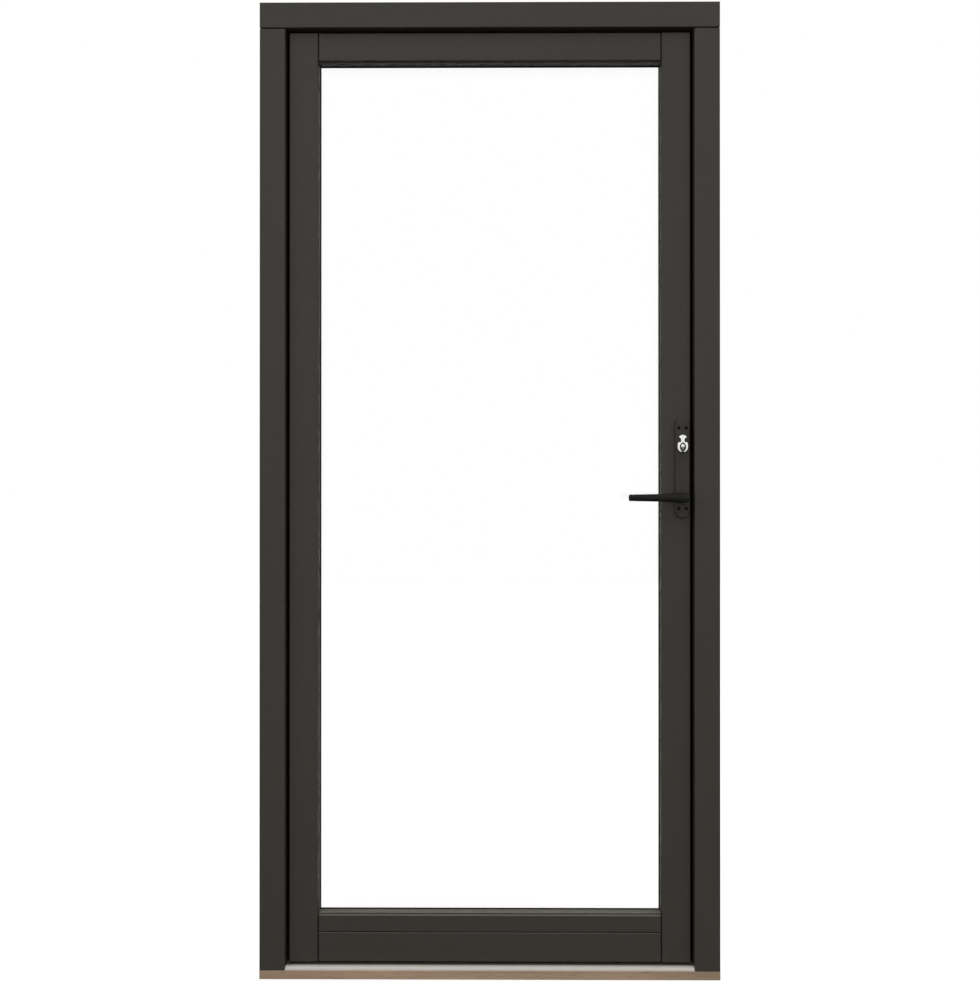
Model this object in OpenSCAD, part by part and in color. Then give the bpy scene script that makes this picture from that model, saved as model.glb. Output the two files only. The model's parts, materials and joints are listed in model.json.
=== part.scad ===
// Glazed terrace door with its timber frame, hung on the left and opening outward.
// X runs across the door, Y from the room to the outside, Z up.
// Depths count from the frame's inside face. The origin lies under the middle of
// the threshold, halfway through the frame's depth.

/* [Frame] */
// Overall width
frame_w = 980; // [800:10:1200]
// Overall height
frame_h = 2080; // [1900:10:2400]
// Width of the face that the room sees on jambs and head
face_w = 54; // [48:1:64]
// Step from the stop to the deeper rebate that holds the leaf's lip
rebate_step = 18; // [16:1:22]
// Recess of the leaf behind the frame's outside face
outer_recess = 10; // [6:1:14]
// Rounding of the visible timber edges
arris_r = 2; // [1:0.5:2.5]

/* [Leaf] */
// Recess of the leaf behind the frame's inside face
leaf_recess = 15; // [10:1:20]
// Thickness of the leaf
leaf_t = 80; // [78:1:90]
// Thickness of the leaf's outer lip
lip_t = 45; // [44:1:50]
// Open gap between the frame and the leaf's inside face
leaf_gap = 7; // [6:0.5:9]
// Gap between the lip's edge and the rebate
lip_gap = 4; // [3.6:0.2:5]
// Space for the gasket between the stop and the lip
gasket_gap = 5; // [4:0.5:6]
// Face width of the stiles
stile_face = 61; // [60:0.5:75]
// Face height of the top rail
top_face = 59; // [50:1:80]
// Face height of the rail under the glass
bottom_face = 35; // [34:1:60]
// Face height of the kick rail
kick_face = 64; // [50:1:160]

/* [Glazing] */
// Width of the rails' sloped moulding between the face and the sight line
mould_w = 4; // [3:0.5:8]
// Width of the stiles' sloped moulding
stile_mould_w = 1.5; // [1.5:0.5:6]
// Depth of the moulding
mould_d = 27; // [22:1:29]
// Width that the rebate covers at the edge of the glass
edge_cover = 30; // [24:1:30]
// Height of the outside beads
bead_h = 12; // [10:0.5:14]
// Clearance round the edge of the glass
edge_clear = 4; // [3:0.5:5]
// Thickness of one pane
pane_t = 4; // [3:1:5]
// Depth of each gas space
cavity = 10; // [8:1:11]
// Thickness of the seals beside the glass
bedding = 3; // [2:0.5:4]

/* [Threshold] */
// Height of the hardwood at the room side
sill_h = 18.5; // [16:0.5:24]
// Height of the wear strip above the hardwood
strip_h = 7; // [6:0.5:9]
// Wall of the aluminium sill profile
strip_t = 2; // [1.5:0.5:2.5]
// Gap under the leaf's inside face
sill_gap = 6.5; // [5:0.5:9]
// Height of the hardwood where its outer slope starts
apron_in = 10; // [9:0.5:11]
// Height of the hardwood at its outer edge
apron_out = 6; // [4:0.5:7]
// Depth that the lip reaches below the leaf's inside face
lip_drop = 15; // [14.5:0.5:16]

/* [Lock] */
// Height of the lever's axis above the floor
lever_z = 1025; // [950:5:1080]
// Distance of the lever's axis from the leaf's inside edge
lever_inset = 18; // [18:0.5:22]
// Length of the lever from its axis to its tip
lever_len = 119; // [95:1:140]
// Distance of the lever's bar from its plate
lever_reach = 45; // [40:1:60]
// Radius of the lever at its neck
neck_r = 10.5; // [9:0.5:11]
// Radius of the lever at its tip
tip_r = 7; // [5:0.5:8]
// Width of the long plates
plate_w = 30; // [28:0.5:34]
// Thickness of the long plates
plate_t = 8; // [6:0.5:9]
// Height of the plate above the lever's axis
plate_above = 170; // [160:1:190]
// Length of the plate below the lever's axis
plate_below = 44; // [40:1:70]
// Distance of the thumbturn's axis above the lever's axis
lock_pitch = 107; // [100:1:110]
// Radius of the thumbturn's hub
turn_r = 10.75; // [10:0.25:12.5]
// Travel of the deadbolt and the rods
throw_len = 14; // [10:1:15]

/* [Hinges] */
// Height of one hinge
hinge_h = 100; // [80:5:120]
// Radius of the hinge knuckles
knuckle_r = 7; // [6:0.5:9]
// Radius of the hinge pins
hinge_pin_r = 4; // [3:0.5:4.5]
// Thickness of the hinge plates
hinge_t = 1.6; // [1:0.1:1.7]
// Distance of the outer hinges from the ends of the frame
hinge_end = 250; // [220:10:400]

/* [Hidden] */
$fn = 48;

// Colours
paint_c = [0.247, 0.238, 0.216];
oak_c = [0.55, 0.47, 0.39];
alu_c = [0.71, 0.70, 0.68];
steel_c = [0.62, 0.62, 0.60];
chrome_c = [0.86, 0.86, 0.85];
black_c = [0.13, 0.13, 0.125];
rubber_c = [0.06, 0.06, 0.055];
beech_c = [0.76, 0.62, 0.44];
plastic_c = [0.30, 0.32, 0.33];
glass_c = [0.80, 0.90, 0.89, 0.35];

// Clearances
slack = 1;
seat = 0.3;
fit = 0.05;
run_fit = 0.1;

// Places across the door
half_w = frame_w / 2;
stop_x = half_w - face_w;
rebate_x = stop_x + rebate_step;
leaf_x = stop_x - leaf_gap;
lip_x = rebate_x - lip_gap;
mould_x = leaf_x - stile_face;
sight_x = mould_x - stile_mould_w;
bed_x = sight_x + edge_cover;
glass_x = bed_x - edge_clear;
jamb_mid_x = (rebate_x + half_w) / 2;

// Places through the depth
leaf_back = leaf_recess + leaf_t;
lip_y = leaf_back - lip_t;
stop_d = lip_y - gasket_gap;
frame_d = leaf_back + outer_recess;
edge_y = leaf_back - lip_t / 2;
bed_y = leaf_recess + mould_d;
glass_y = bed_y + bedding;
unit_t = 3 * pane_t + 2 * cavity;
bead_y = glass_y + unit_t + bedding;

// Heights
head_z = frame_h - face_w;
rebate_z = head_z + rebate_step;
leaf_top = head_z - leaf_gap;
lip_top = rebate_z - lip_gap;
strip_z = sill_h + strip_h;
leaf_low = strip_z + sill_gap;
lip_low = leaf_low - lip_drop;
kick_top = leaf_low + kick_face;
low_edge = kick_top + bottom_face;
top_edge = leaf_top - top_face;
sight_low = low_edge + mould_w;
sight_top = top_edge - mould_w;
bed_low = sight_low - edge_cover;
bed_top = sight_top + edge_cover;
glass_low = bed_low + edge_clear;
glass_top = bed_top - edge_clear;

// Height of the hardwood's outer slope at a given depth
function apron_z(y) = apron_in + (apron_out - apron_in) * (y - stop_d) / (frame_d - stop_d);

// Moulding beside the glass
ledge_d = 7.5;
ledge_share = 0.6;
mould_land = 2;

// Shadow grooves at the visible joints of rails, stiles, jambs and head
joint_w = 2.5;
joint_d = 8;

// Gasket
kerf_w = 2.6;
kerf_d = 5;
kerf_slack = 0.1;
base_t = 1.5;
base_inset = 1;
bulb_w = 8;
bulb_wall = 0.8;

// Glazing beads, seals and blocks
bead_nose = 6;
bead_slope = 4;
seal_w = 7;
seal_over = 2;
spacer_w = 6;
spacer_inset = 5;
block_len = 100;
block_x = 250;

// Rails
dowel_r = 5;
dowel_len = 76;
dowel_in_d = 14;
dowel_out_d = 25;
dowel_in = leaf_recess + dowel_in_d;
dowel_out = leaf_back - dowel_out_d;
dowel_at = [
    [mould_x, dowel_in, (leaf_low + kick_top) / 2],
    [bed_x, dowel_out, (leaf_low + kick_top) / 2],
    [mould_x, dowel_in, (kick_top + low_edge) / 2],
    [mould_x, dowel_in, (top_edge + leaf_top) / 2],
    [bed_x, dowel_out, (bed_top + leaf_top) / 2]
];

// Sill
nose_set = 1;
web_at = [14, 30];
web_t = 2;
drip_low = 2;
drip_bar_t = 8;
drip_bar_h = 20;
drip_bar_rise = 4;

// Frame fixings
sleeve_r = 7;
sleeve_bore_r = 5;
sleeve_end = 140;
sleeve_pitch = 450;
sleeve_zs = [
    sleeve_end,
    sleeve_end + sleeve_pitch,
    frame_h - sleeve_end - sleeve_pitch,
    frame_h - sleeve_end
];
corner_r = 3;
corner_head_r = 6;
corner_len = 100;
corner_in = 25;
corner_out = 35;
corner_ys = [corner_in, stop_d + corner_out];

// Wood screws of hinges, keepers and plates
screw_r = 2;
screw_head_r = 4;
hinge_screw_len = 30;
keeper_screw_len = 25;
plate_screw_r = 1.8;
plate_screw_head_r = 3.7;
face_screw_len = 22;

// Hinges
hinge_x = -(rebate_x + lip_x) / 2;
hinge_y = frame_d + knuckle_r + slack;
hinge_plate_w = 48;
hinge_zs = [hinge_end, frame_h / 2, frame_h - hinge_end];
washer_t = 2;
hinge_pin_short = 8;
hinge_pin_len = hinge_h - hinge_pin_short;
hinge_chamfer = 1.5;
near_screw = [26, 35];
far_screw = [40, 12];
hinge_screw_at = [
    for (s = [-1, 1], p = [near_screw, far_screw]) [hinge_y - p[0], s * (hinge_h / 2 - p[1])]
];

// Lock
lever_x = leaf_x - lever_inset;
turn_z = lever_z + lock_pitch;
face_t = 3;
face_half = 11;
face_x = lip_x - face_t;
case_wall = 3.5;
case_half = 10;
case_below = 40;
case_above = 100;
case_low = lever_z - case_below;
case_top = turn_z + case_above;
case_x = bed_x + case_wall;
follower_r = 9;
cam_r = 7;
spindle_w = 8;
bore_r = 7;
bolt_h = 28;
bolt_half = 6;
bolt_len = 34;
bolt_tip = lip_x - seat;
bolt_rise = 30;
bolt_z = turn_z + bolt_rise;
rod_t = 4;
rod_half = 5;
rod_x = face_x - seat - rod_t;
rod_grip = 32;
rod_slot_r = 2.4;
upper_end = lip_top - slack;
lower_end = lip_low + slack;
face_screw_end = 60;
face_screw_case = 25;
face_screw_zs = [
    lip_low + face_screw_end,
    (lip_low + case_low) / 2,
    case_low - face_screw_case,
    case_top + face_screw_case,
    (lip_top + case_top) / 2,
    lip_top - face_screw_end
];
sleeve_y = (stop_d + edge_y - face_half) / 2;
keeper_t = 3;
keeper_h = 100;
keeper_len = 54;
keeper_x1 = rebate_x - slack;
keeper_x0 = keeper_x1 - keeper_len;
keeper_screw_x = [10, 26];
keeper_screw_z = 38;
pocket_d = 16;
head_pocket = 14;
sill_pocket = 3;
plate_in = leaf_recess - plate_t;
plate_out = leaf_back + plate_t;
plate_r = 2;
plate_screw_x = 8;
plate_screw_len = plate_out - edge_y - case_half - slack;
plate_screw_top = 22;
plate_screw_foot = 20;
plate_screw_zs = [lever_z - plate_below + plate_screw_foot, lever_z + plate_above - plate_screw_top];
mid_y = (plate_in + plate_out) / 2;
elbow_r = 12;
boss_r = 7;
boss_len = 6;
waist_len = 40;
waist_r = (neck_r + 2 * tip_r) / 3;
cap_len = 8.5;
cap_edge_r = 2.8;
cap_groove_w = 1;
cap_groove_d = 0.5;
pull_r = 5.5;
pull_reach = 36;
pull_bend = 11;
pull_foot_r = 8;
pull_foot_t = 3;
pull_drop = 5;
pull_rise = 80;
pull_low = lever_z - pull_drop;
pull_high = lever_z + pull_rise;
cylinder_r = 12;
plug_r = 6.5;
plug_proud = 1.5;
key_slot = [1.6, 8];
tail_w = 7;
tail_t = 3;

// Thumbturn
stem_r = 5;
turn_t = 7;
wing_t = 5;
wing_neck = 3.4;
neck_z = 14.6;
neck_hollow_r = 6.8;
wing_half = 8;
wing_arch_r = 9.7;
wing_top = 26;
eye_r = 12;
eye_shift = 5.2;
eye_d = 3;
button_r = 6.3;
button_shift = 2.7;
button_rise = 1.6;
button_dome_r = 9;
shoulder_rise = 4;
shoulder_over = 0.25;
hub_head = 10.4;
hub_foot = 9.8;

// Shapes that repeat

// Box between two opposite corners
module box(a, b) {
    translate(a) cube(b - a);
}

// Flat rectangle between two opposite corners
module rect(a, b) {
    translate(a) square(b - a);
}

// Profile of depth and height, drawn out across the door
module run_x(x0, x1) {
    translate([x0, 0, 0]) rotate([90, 0, 90]) linear_extrude(x1 - x0) children();
}

// Plan section, drawn upward
module run_z(z0, z1) {
    translate([0, 0, z0]) linear_extrude(z1 - z0) children();
}

// Outline of width and height, drawn out through the depth
module run_y(y0, y1) {
    translate([0, y1, 0]) rotate([90, 0, 0]) linear_extrude(y1 - y0) children();
}

// Cutter that takes a square corner at the origin back to a quarter round
module corner_cut(r) {
    difference() {
        translate([-slack, -slack]) square(r + slack);
        translate([r, r]) circle(r);
    }
}

// Shadow groove at a joint: depth from the face, height down from the joint, with an eased edge
module groove() {
    rect([-slack, -joint_w], [joint_d, 0]);
    translate([0, -joint_w]) mirror([0, 1]) corner_cut(arris_r / 2);
}

// Both sides of the door
module both_sides() {
    children();
    mirror([1, 0, 0]) children();
}

// Colour and place of every piece
module finish(c) {
    color(c) translate([0, -frame_d / 2, 0]) children();
}

// Countersunk screw from its head downward
module screw(head_r, shank_r, len, extra = 0) {
    translate([0, 0, shank_r - head_r])
        cylinder(h = head_r - shank_r, r1 = shank_r + extra, r2 = head_r + extra);
    translate([0, 0, -len - extra]) cylinder(h = len + extra, r = shank_r + extra);
}

// Hole for such a screw, open above the head
module screw_hole(head_r, shank_r, len) {
    screw(head_r, shank_r, len, fit);
    cylinder(h = slack, r = head_r + fit);
}

// Frame

// Section of a jamb on the positive side
module jamb_section() {
    difference() {
        union() {
            rect([stop_x, 0], [half_w, stop_d]);
            rect([rebate_x, 0], [half_w, frame_d]);
        }
        translate([stop_x, 0]) corner_cut(arris_r);
        translate([half_w, 0]) mirror([1, 0]) corner_cut(arris_r / 2);
        translate([rebate_x, frame_d]) mirror([0, 1]) corner_cut(arris_r);
        translate([half_w, frame_d]) rotate(180) corner_cut(arris_r / 2);
    }
}

// Section of the hardwood threshold
module threshold_section() {
    back = stop_d - strip_t;
    polygon([
        [0, 0], [frame_d, 0], [frame_d, apron_z(frame_d)],
        [back, apron_z(back)], [back, sill_h], [0, sill_h]
    ]);
}

// Jamb between threshold and head, with its fixing and corner holes
module jamb() {
    difference() {
        run_z(0, rebate_z) jamb_section();
        run_x(0, frame_w) threshold_section();
        box([stop_x - slack, -slack, head_z], [half_w + slack, stop_d, rebate_z + slack]);
        run_x(0, frame_w) translate([0, head_z]) groove();
        sleeve_places() cylinder(h = face_w, r = sleeve_r + fit);
        corner_places() screw_hole(corner_head_r, corner_r, corner_len);
    }
}

// Places of the fixing sleeves in one jamb, pointing to the wall
module sleeve_places() {
    for (z = sleeve_zs) translate([rebate_x - slack, sleeve_y, z]) rotate([0, 90, 0]) children();
}

// Places of the corner screws in one jamb, from above and from below
module corner_places() {
    for (y = corner_ys) {
        translate([jamb_mid_x, y, frame_h]) children();
        translate([jamb_mid_x, y, 0]) rotate([180, 0, 0]) children();
    }
}

// Places of one hinge's screws, pointing out of the leaf's edge
module hinge_screw_places() {
    for (z = hinge_zs) for (p = hinge_screw_at) translate([0, p[0], z + p[1]]) children();
}

module hinge_screw_in_frame() {
    translate([-rebate_x + hinge_t, 0, 0]) rotate([0, 90, 0]) children();
}

module hinge_screw_in_leaf() {
    translate([-lip_x - hinge_t, 0, 0]) rotate([0, -90, 0]) children();
}

module frame_head() {
    finish(paint_c) difference() {
        run_x(-half_w, half_w) difference() {
            union() {
                rect([0, head_z], [stop_d, frame_h]);
                rect([0, rebate_z], [frame_d, frame_h]);
            }
            translate([0, head_z]) corner_cut(arris_r);
            translate([0, frame_h]) mirror([0, 1]) corner_cut(arris_r / 2);
            translate([frame_d, rebate_z]) mirror([1, 0]) corner_cut(arris_r);
        }
        both_sides() corner_places() screw_hole(corner_head_r, corner_r, corner_len);
        box(
            [keeper_x0 - seat, edge_y - face_half - fit, rebate_z - slack],
            [keeper_x1 + seat, edge_y + face_half + fit, rebate_z + keeper_t]
        );
        rod_hole(rebate_z, rebate_z + head_pocket);
        keeper_head_places() screw_hole(screw_head_r, screw_r, keeper_screw_len);
    }
}

module hinge_jamb() {
    finish(paint_c) difference() {
        mirror([1, 0, 0]) jamb();
        hinge_screw_places() hinge_screw_in_frame() screw_hole(screw_head_r, screw_r, hinge_screw_len);
    }
}

module lock_jamb() {
    finish(paint_c) difference() {
        jamb();
        box(
            [rebate_x - slack, edge_y - face_half - fit, bolt_z - keeper_h / 2 - fit],
            [rebate_x + keeper_t, edge_y + face_half + fit, bolt_z + keeper_h / 2 + fit]
        );
        bolt_hole(rebate_x, rebate_x + pocket_d);
        keeper_lock_places() screw_hole(screw_head_r, screw_r, keeper_screw_len);
    }
}

module threshold() {
    finish(oak_c) difference() {
        run_x(-half_w, half_w) difference() {
            threshold_section();
            translate([0, sill_h]) mirror([0, 1]) corner_cut(arris_r / 2);
        }
        both_sides() corner_places() screw_hole(corner_head_r, corner_r, corner_len);
        rod_hole(sill_pocket, sill_h);
    }
}

// Aluminium profile: rounded nosing, tread on webs, riser, outer apron and drip edge
module sill_section() {
    lip = frame_d + strip_t;
    nose_y = nose_set + strip_h;
    riser = stop_d - strip_t;
    intersection() {
        translate([nose_y, sill_h]) difference() {
            circle(strip_h);
            circle(strip_h - strip_t);
        }
        rect([nose_set - slack, sill_h], [nose_y, strip_z + slack]);
    }
    rect([nose_y, strip_z - strip_t], [stop_d, strip_z]);
    for (y = web_at) rect([y, sill_h], [y + web_t, strip_z - strip_t]);
    rect([riser, apron_z(riser)], [stop_d, strip_z]);
    polygon([
        [riser, apron_z(riser)], [lip, apron_z(lip)],
        [lip, apron_z(lip) + strip_t], [riser, apron_z(riser) + strip_t]
    ]);
    rect([frame_d, drip_low], [lip, apron_z(lip) + strip_t]);
}

module sill_plate() {
    end_x = rebate_x - seat;
    shoulder_x = stop_x - seat;
    finish(alu_c) difference() {
        run_x(-end_x, end_x) sill_section();
        both_sides() box([shoulder_x, -slack, 0], [end_x + slack, stop_d + seat, strip_z + slack]);
        rod_hole(0, sill_h);
    }
}

// Clear hole for a rod between two heights
module rod_hole(z0, z1) {
    box([rod_x - seat, edge_y - rod_half - seat, z0], [face_x, edge_y + rod_half + seat, z1]);
}

// Clear hole for the deadbolt between two places across the door
module bolt_hole(x0, x1) {
    box(
        [x0, edge_y - bolt_half - seat, bolt_z - bolt_h / 2 - seat],
        [x1, edge_y + bolt_half + seat, bolt_z + bolt_h / 2 + seat]
    );
}

module keeper_head_places() {
    for (x = keeper_screw_x) translate([keeper_x0 + x, edge_y, rebate_z]) rotate([180, 0, 0]) children();
}

module keeper_lock_places() {
    for (s = [-1, 1])
        translate([rebate_x, edge_y, bolt_z + s * keeper_screw_z]) rotate([0, -90, 0]) children();
}

module head_keeper() {
    finish(steel_c) difference() {
        box([keeper_x0, edge_y - face_half, rebate_z], [keeper_x1, edge_y + face_half, rebate_z + keeper_t]);
        rod_hole(rebate_z - slack, rebate_z + keeper_t + slack);
        keeper_head_places() screw_hole(screw_head_r, screw_r, keeper_screw_len);
    }
}

module lock_keeper() {
    finish(steel_c) difference() {
        box(
            [rebate_x, edge_y - face_half, bolt_z - keeper_h / 2],
            [rebate_x + keeper_t, edge_y + face_half, bolt_z + keeper_h / 2]
        );
        bolt_hole(rebate_x - slack, rebate_x + keeper_t + slack);
        keeper_lock_places() screw_hole(screw_head_r, screw_r, keeper_screw_len);
    }
}

module keeper_screws() {
    finish(steel_c) {
        keeper_head_places() screw(screw_head_r, screw_r, keeper_screw_len);
        keeper_lock_places() screw(screw_head_r, screw_r, keeper_screw_len);
    }
}

module corner_screws() {
    finish(steel_c) both_sides() corner_places() screw(corner_head_r, corner_r, corner_len);
}

// Sleeves that the wall screws pass through
module fixing_sleeves() {
    finish(steel_c) both_sides() sleeve_places() translate([0, 0, slack]) difference() {
        cylinder(h = half_w - rebate_x, r = sleeve_r);
        translate([0, 0, -slack]) cylinder(h = face_w + slack, r = sleeve_bore_r);
    }
}

// Hinges

// Knuckle from the washer to its rounded end, standing upward
module knuckle() {
    len = (hinge_h - washer_t) / 2;
    translate([0, 0, washer_t / 2]) {
        cylinder(h = len - hinge_chamfer, r = knuckle_r);
        translate([0, 0, len - hinge_chamfer])
            cylinder(h = hinge_chamfer, r1 = knuckle_r, r2 = knuckle_r - hinge_chamfer);
    }
}

// Plate of one hinge half: full height beside the timber, half height at its knuckle
module hinge_plate(x0, x1, up) {
    half = hinge_h / 2;
    clear_y = hinge_y - knuckle_r - slack / 2;
    box([x0, hinge_y - hinge_plate_w, -half], [x1, clear_y, half]);
    if (up) box([x0, clear_y - slack, washer_t / 2], [x1, hinge_y, half - hinge_chamfer]);
    else box([x0, clear_y - slack, hinge_chamfer - half], [x1, hinge_y, -washer_t / 2]);
}

module hinge_frame(i) {
    finish(steel_c) difference() {
        translate([0, 0, hinge_zs[i]]) difference() {
            union() {
                hinge_plate(-rebate_x, -rebate_x + hinge_t, false);
                translate([hinge_x, hinge_y, 0]) mirror([0, 0, 1]) knuckle();
            }
            translate([hinge_x, hinge_y, -hinge_pin_len / 2])
                cylinder(h = hinge_h, r = hinge_pin_r + fit / 2);
        }
        hinge_screw_places() hinge_screw_in_frame() screw_hole(screw_head_r, screw_r, hinge_screw_len);
    }
}

module hinge_leaf(i) {
    finish(steel_c) difference() {
        translate([0, 0, hinge_zs[i]]) difference() {
            union() {
                hinge_plate(-lip_x - hinge_t, -lip_x, true);
                translate([hinge_x, hinge_y, 0]) knuckle();
            }
            translate([hinge_x, hinge_y, -hinge_h / 2])
                cylinder(h = (hinge_h + hinge_pin_len) / 2 + seat, r = hinge_pin_r + run_fit);
        }
        hinge_screw_places() hinge_screw_in_leaf() screw_hole(screw_head_r, screw_r, hinge_screw_len);
    }
}

module hinge_pins() {
    finish(steel_c) for (z = hinge_zs)
        translate([hinge_x, hinge_y, z - hinge_pin_len / 2]) cylinder(h = hinge_pin_len, r = hinge_pin_r);
}

module hinge_washers() {
    thick = washer_t - 2 * run_fit;
    finish(steel_c) for (z = hinge_zs) translate([hinge_x, hinge_y, z - thick / 2]) difference() {
        cylinder(h = thick, r = knuckle_r);
        translate([0, 0, -slack]) cylinder(h = washer_t + slack, r = hinge_pin_r + run_fit);
    }
}

module hinge_frame_screws() {
    finish(steel_c) hinge_screw_places() hinge_screw_in_frame() screw(screw_head_r, screw_r, hinge_screw_len);
}

module hinge_leaf_screws() {
    finish(steel_c) hinge_screw_places() hinge_screw_in_leaf() screw(screw_head_r, screw_r, hinge_screw_len);
}

// Leaf

// Moulded lip with a ledge, a step and a slope: width runs toward the glass from the face's edge,
// depth from the leaf's face
module mould_section(width) {
    root = width - edge_cover;
    difference() {
        polygon([
            [root, 0], [0, 0], [0, ledge_d], [ledge_share * width, ledge_d],
            [width, mould_d - mould_land], [width, mould_d], [root, mould_d]
        ]);
        mirror([1, 0]) corner_cut(arris_r);
    }
}

// Kerf of the gasket's root, from the lip's inside face
module kerf_section() {
    translate([-kerf_w / 2, -slack]) square([kerf_w, kerf_d + slack]);
}

// Full section of a stile on the positive side
module stile_section() {
    difference() {
        union() {
            translate([mould_x, leaf_recess]) mirror([1, 0]) mould_section(stile_mould_w);
            rect([bed_x, leaf_recess], [leaf_x, leaf_back]);
            rect([leaf_x, lip_y], [lip_x, leaf_back]);
        }
        translate([leaf_x, leaf_recess]) mirror([1, 0]) corner_cut(arris_r);
        translate([lip_x, leaf_back]) rotate(180) corner_cut(arris_r);
        translate([(leaf_x + lip_x) / 2, lip_y]) kerf_section();
    }
}

// Stile over the full height of the leaf, stepped at both ends like its edge
module stile() {
    difference() {
        run_z(lip_low, lip_top) stile_section();
        box([0, 0, lip_low - slack], [half_w, lip_y, leaf_low]);
        box([0, 0, leaf_top], [half_w, lip_y, lip_top + slack]);
        dowel_places() cylinder(h = dowel_len + fit, r = dowel_r + fit, center = true);
    }
}

// Places of the dowels at one end of the rails
module dowel_places() {
    for (p = dowel_at) translate(p) rotate([0, 90, 0]) children();
}

// Rail between the stiles: its ends are coped over their moulding and grooved at the face
module rail() {
    difference() {
        run_x(-bed_x, bed_x) children();
        both_sides() run_z(0, frame_h) {
            stile_section();
            translate([mould_x, leaf_recess]) square(arris_r);
            translate([mould_x, leaf_recess]) mirror([1, -1]) groove();
        }
        both_sides() dowel_places() cylinder(h = dowel_len + fit, r = dowel_r + fit, center = true);
    }
}

module hinge_stile() {
    finish(paint_c) difference() {
        mirror([1, 0, 0]) stile();
        hinge_screw_places() hinge_screw_in_leaf() screw_hole(screw_head_r, screw_r, hinge_screw_len);
    }
}

module lock_stile() {
    finish(paint_c) difference() {
        stile();
        box(
            [face_x, edge_y - face_half - fit, lip_low - slack],
            [lip_x + slack, edge_y + face_half + fit, lip_top + slack]
        );
        rod_hole(lip_low - slack, lip_top + slack);
        box(
            [case_x - seat, edge_y - case_half - fit, case_low - fit],
            [face_x + slack, edge_y + case_half + fit, case_top + fit]
        );
        lock_axes() cylinder(h = edge_y, r = bore_r);
        translate([lever_x, edge_y, turn_z]) rotate([-90, 0, 0]) cylinder(h = leaf_t, r = cylinder_r + fit);
        plate_screw_places() screw_hole(plate_screw_head_r, plate_screw_r, plate_screw_len);
        face_screw_places() screw_hole(screw_head_r, screw_r, face_screw_len);
    }
}

module top_rail() {
    finish(paint_c) rail() difference() {
        union() {
            translate([leaf_recess, top_edge]) mirror([0, 1]) mirror([1, -1]) mould_section(mould_w);
            rect([leaf_recess, bed_top], [leaf_back, leaf_top]);
            rect([lip_y, leaf_top], [leaf_back, lip_top]);
        }
        translate([leaf_recess, leaf_top]) mirror([0, 1]) corner_cut(arris_r);
        translate([leaf_back, lip_top]) rotate(180) corner_cut(arris_r);
        translate([lip_y, (leaf_top + lip_top) / 2]) mirror([1, -1]) kerf_section();
    }
}

module bottom_rail() {
    finish(paint_c) rail() difference() {
        union() {
            translate([leaf_recess, low_edge]) mirror([1, -1]) mould_section(mould_w);
            rect([leaf_recess, kick_top], [leaf_back, bed_low]);
        }
        translate([leaf_recess, kick_top]) corner_cut(arris_r / 2);
    }
}

module kick_rail() {
    finish(paint_c) rail() difference() {
        union() {
            rect([leaf_recess, leaf_low], [leaf_back, kick_top]);
            rect([lip_y, lip_low], [leaf_back, leaf_low]);
        }
        translate([leaf_recess, leaf_low]) corner_cut(arris_r);
        translate([leaf_recess, kick_top]) groove();
        translate([lip_y, (leaf_low + lip_low) / 2]) mirror([1, -1]) kerf_section();
    }
}

module leaf_dowels() {
    finish(beech_c) both_sides() dowel_places() cylinder(h = dowel_len, r = dowel_r, center = true);
}

// Glazing

module pane(i) {
    y = glass_y + i * (pane_t + cavity);
    finish(glass_c) box([-glass_x, y, glass_low], [glass_x, y + pane_t, glass_top]);
}

// Rectangular ring round the glass, given by its distances from the glass edge
module glass_ring(y0, y1, outer, inner) {
    difference() {
        box([outer - glass_x, y0, glass_low + outer], [glass_x - outer, y1, glass_top - outer]);
        box(
            [inner - glass_x, y0 - slack, glass_low + inner],
            [glass_x - inner, y1 + slack, glass_top - inner]
        );
    }
}

module glass_spacers() {
    finish(steel_c) for (i = [0, 1]) {
        y = glass_y + pane_t + i * (pane_t + cavity);
        glass_ring(y, y + cavity, spacer_inset, spacer_inset + spacer_w);
    }
}

// Seals on both faces of the unit, the inner one showing beside the sight line
module glazing_seals() {
    inner = edge_cover - edge_clear + seal_over;
    outer = bead_h - edge_clear;
    finish(rubber_c) {
        glass_ring(bed_y, glass_y, inner - seal_w, inner);
        glass_ring(glass_y + unit_t, bead_y, outer - seal_w, outer);
    }
}

// Outside bead of a given length, mitred at both ends; its height runs toward the glass
module bead(len) {
    high = bead_h;
    deep = leaf_back - bead_y;
    difference() {
        translate([-len / 2, 0, 0]) rotate([90, 0, 90]) linear_extrude(len) polygon([
            [0, 0], [deep, 0], [deep, high - bead_nose],
            [deep - bead_slope, high], [0, high]
        ]);
        both_sides() translate([len / 2, -slack, 0]) rotate([0, -45, 0])
            translate([0, 0, -high]) cube([2 * high, deep + 2 * slack, 4 * high]);
    }
}

module bead_left() {
    finish(paint_c) translate([-bed_x, bead_y, (bed_low + bed_top) / 2])
        rotate([0, 90, 0]) bead(bed_top - bed_low);
}

module bead_right() {
    finish(paint_c) translate([bed_x, bead_y, (bed_low + bed_top) / 2])
        rotate([0, -90, 0]) bead(bed_top - bed_low);
}

module bead_top() {
    finish(paint_c) translate([0, bead_y, bed_top]) rotate([0, 180, 0]) bead(2 * bed_x);
}

module bead_bottom() {
    finish(paint_c) translate([0, bead_y, bed_low]) bead(2 * bed_x);
}

// Blocks that carry the glass and set it diagonally in the leaf
module setting_blocks() {
    half = block_len / 2;
    y1 = glass_y + unit_t;
    finish(plastic_c) {
        both_sides() box([block_x - half, glass_y, bed_low], [block_x + half, y1, glass_low]);
        box([-bed_x, glass_y, glass_low + half], [-glass_x, y1, glass_low + half + block_len]);
        box([glass_x, glass_y, glass_top - half - block_len], [bed_x, y1, glass_top - half]);
    }
}

// Weather gaskets on the lip's inside face

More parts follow.
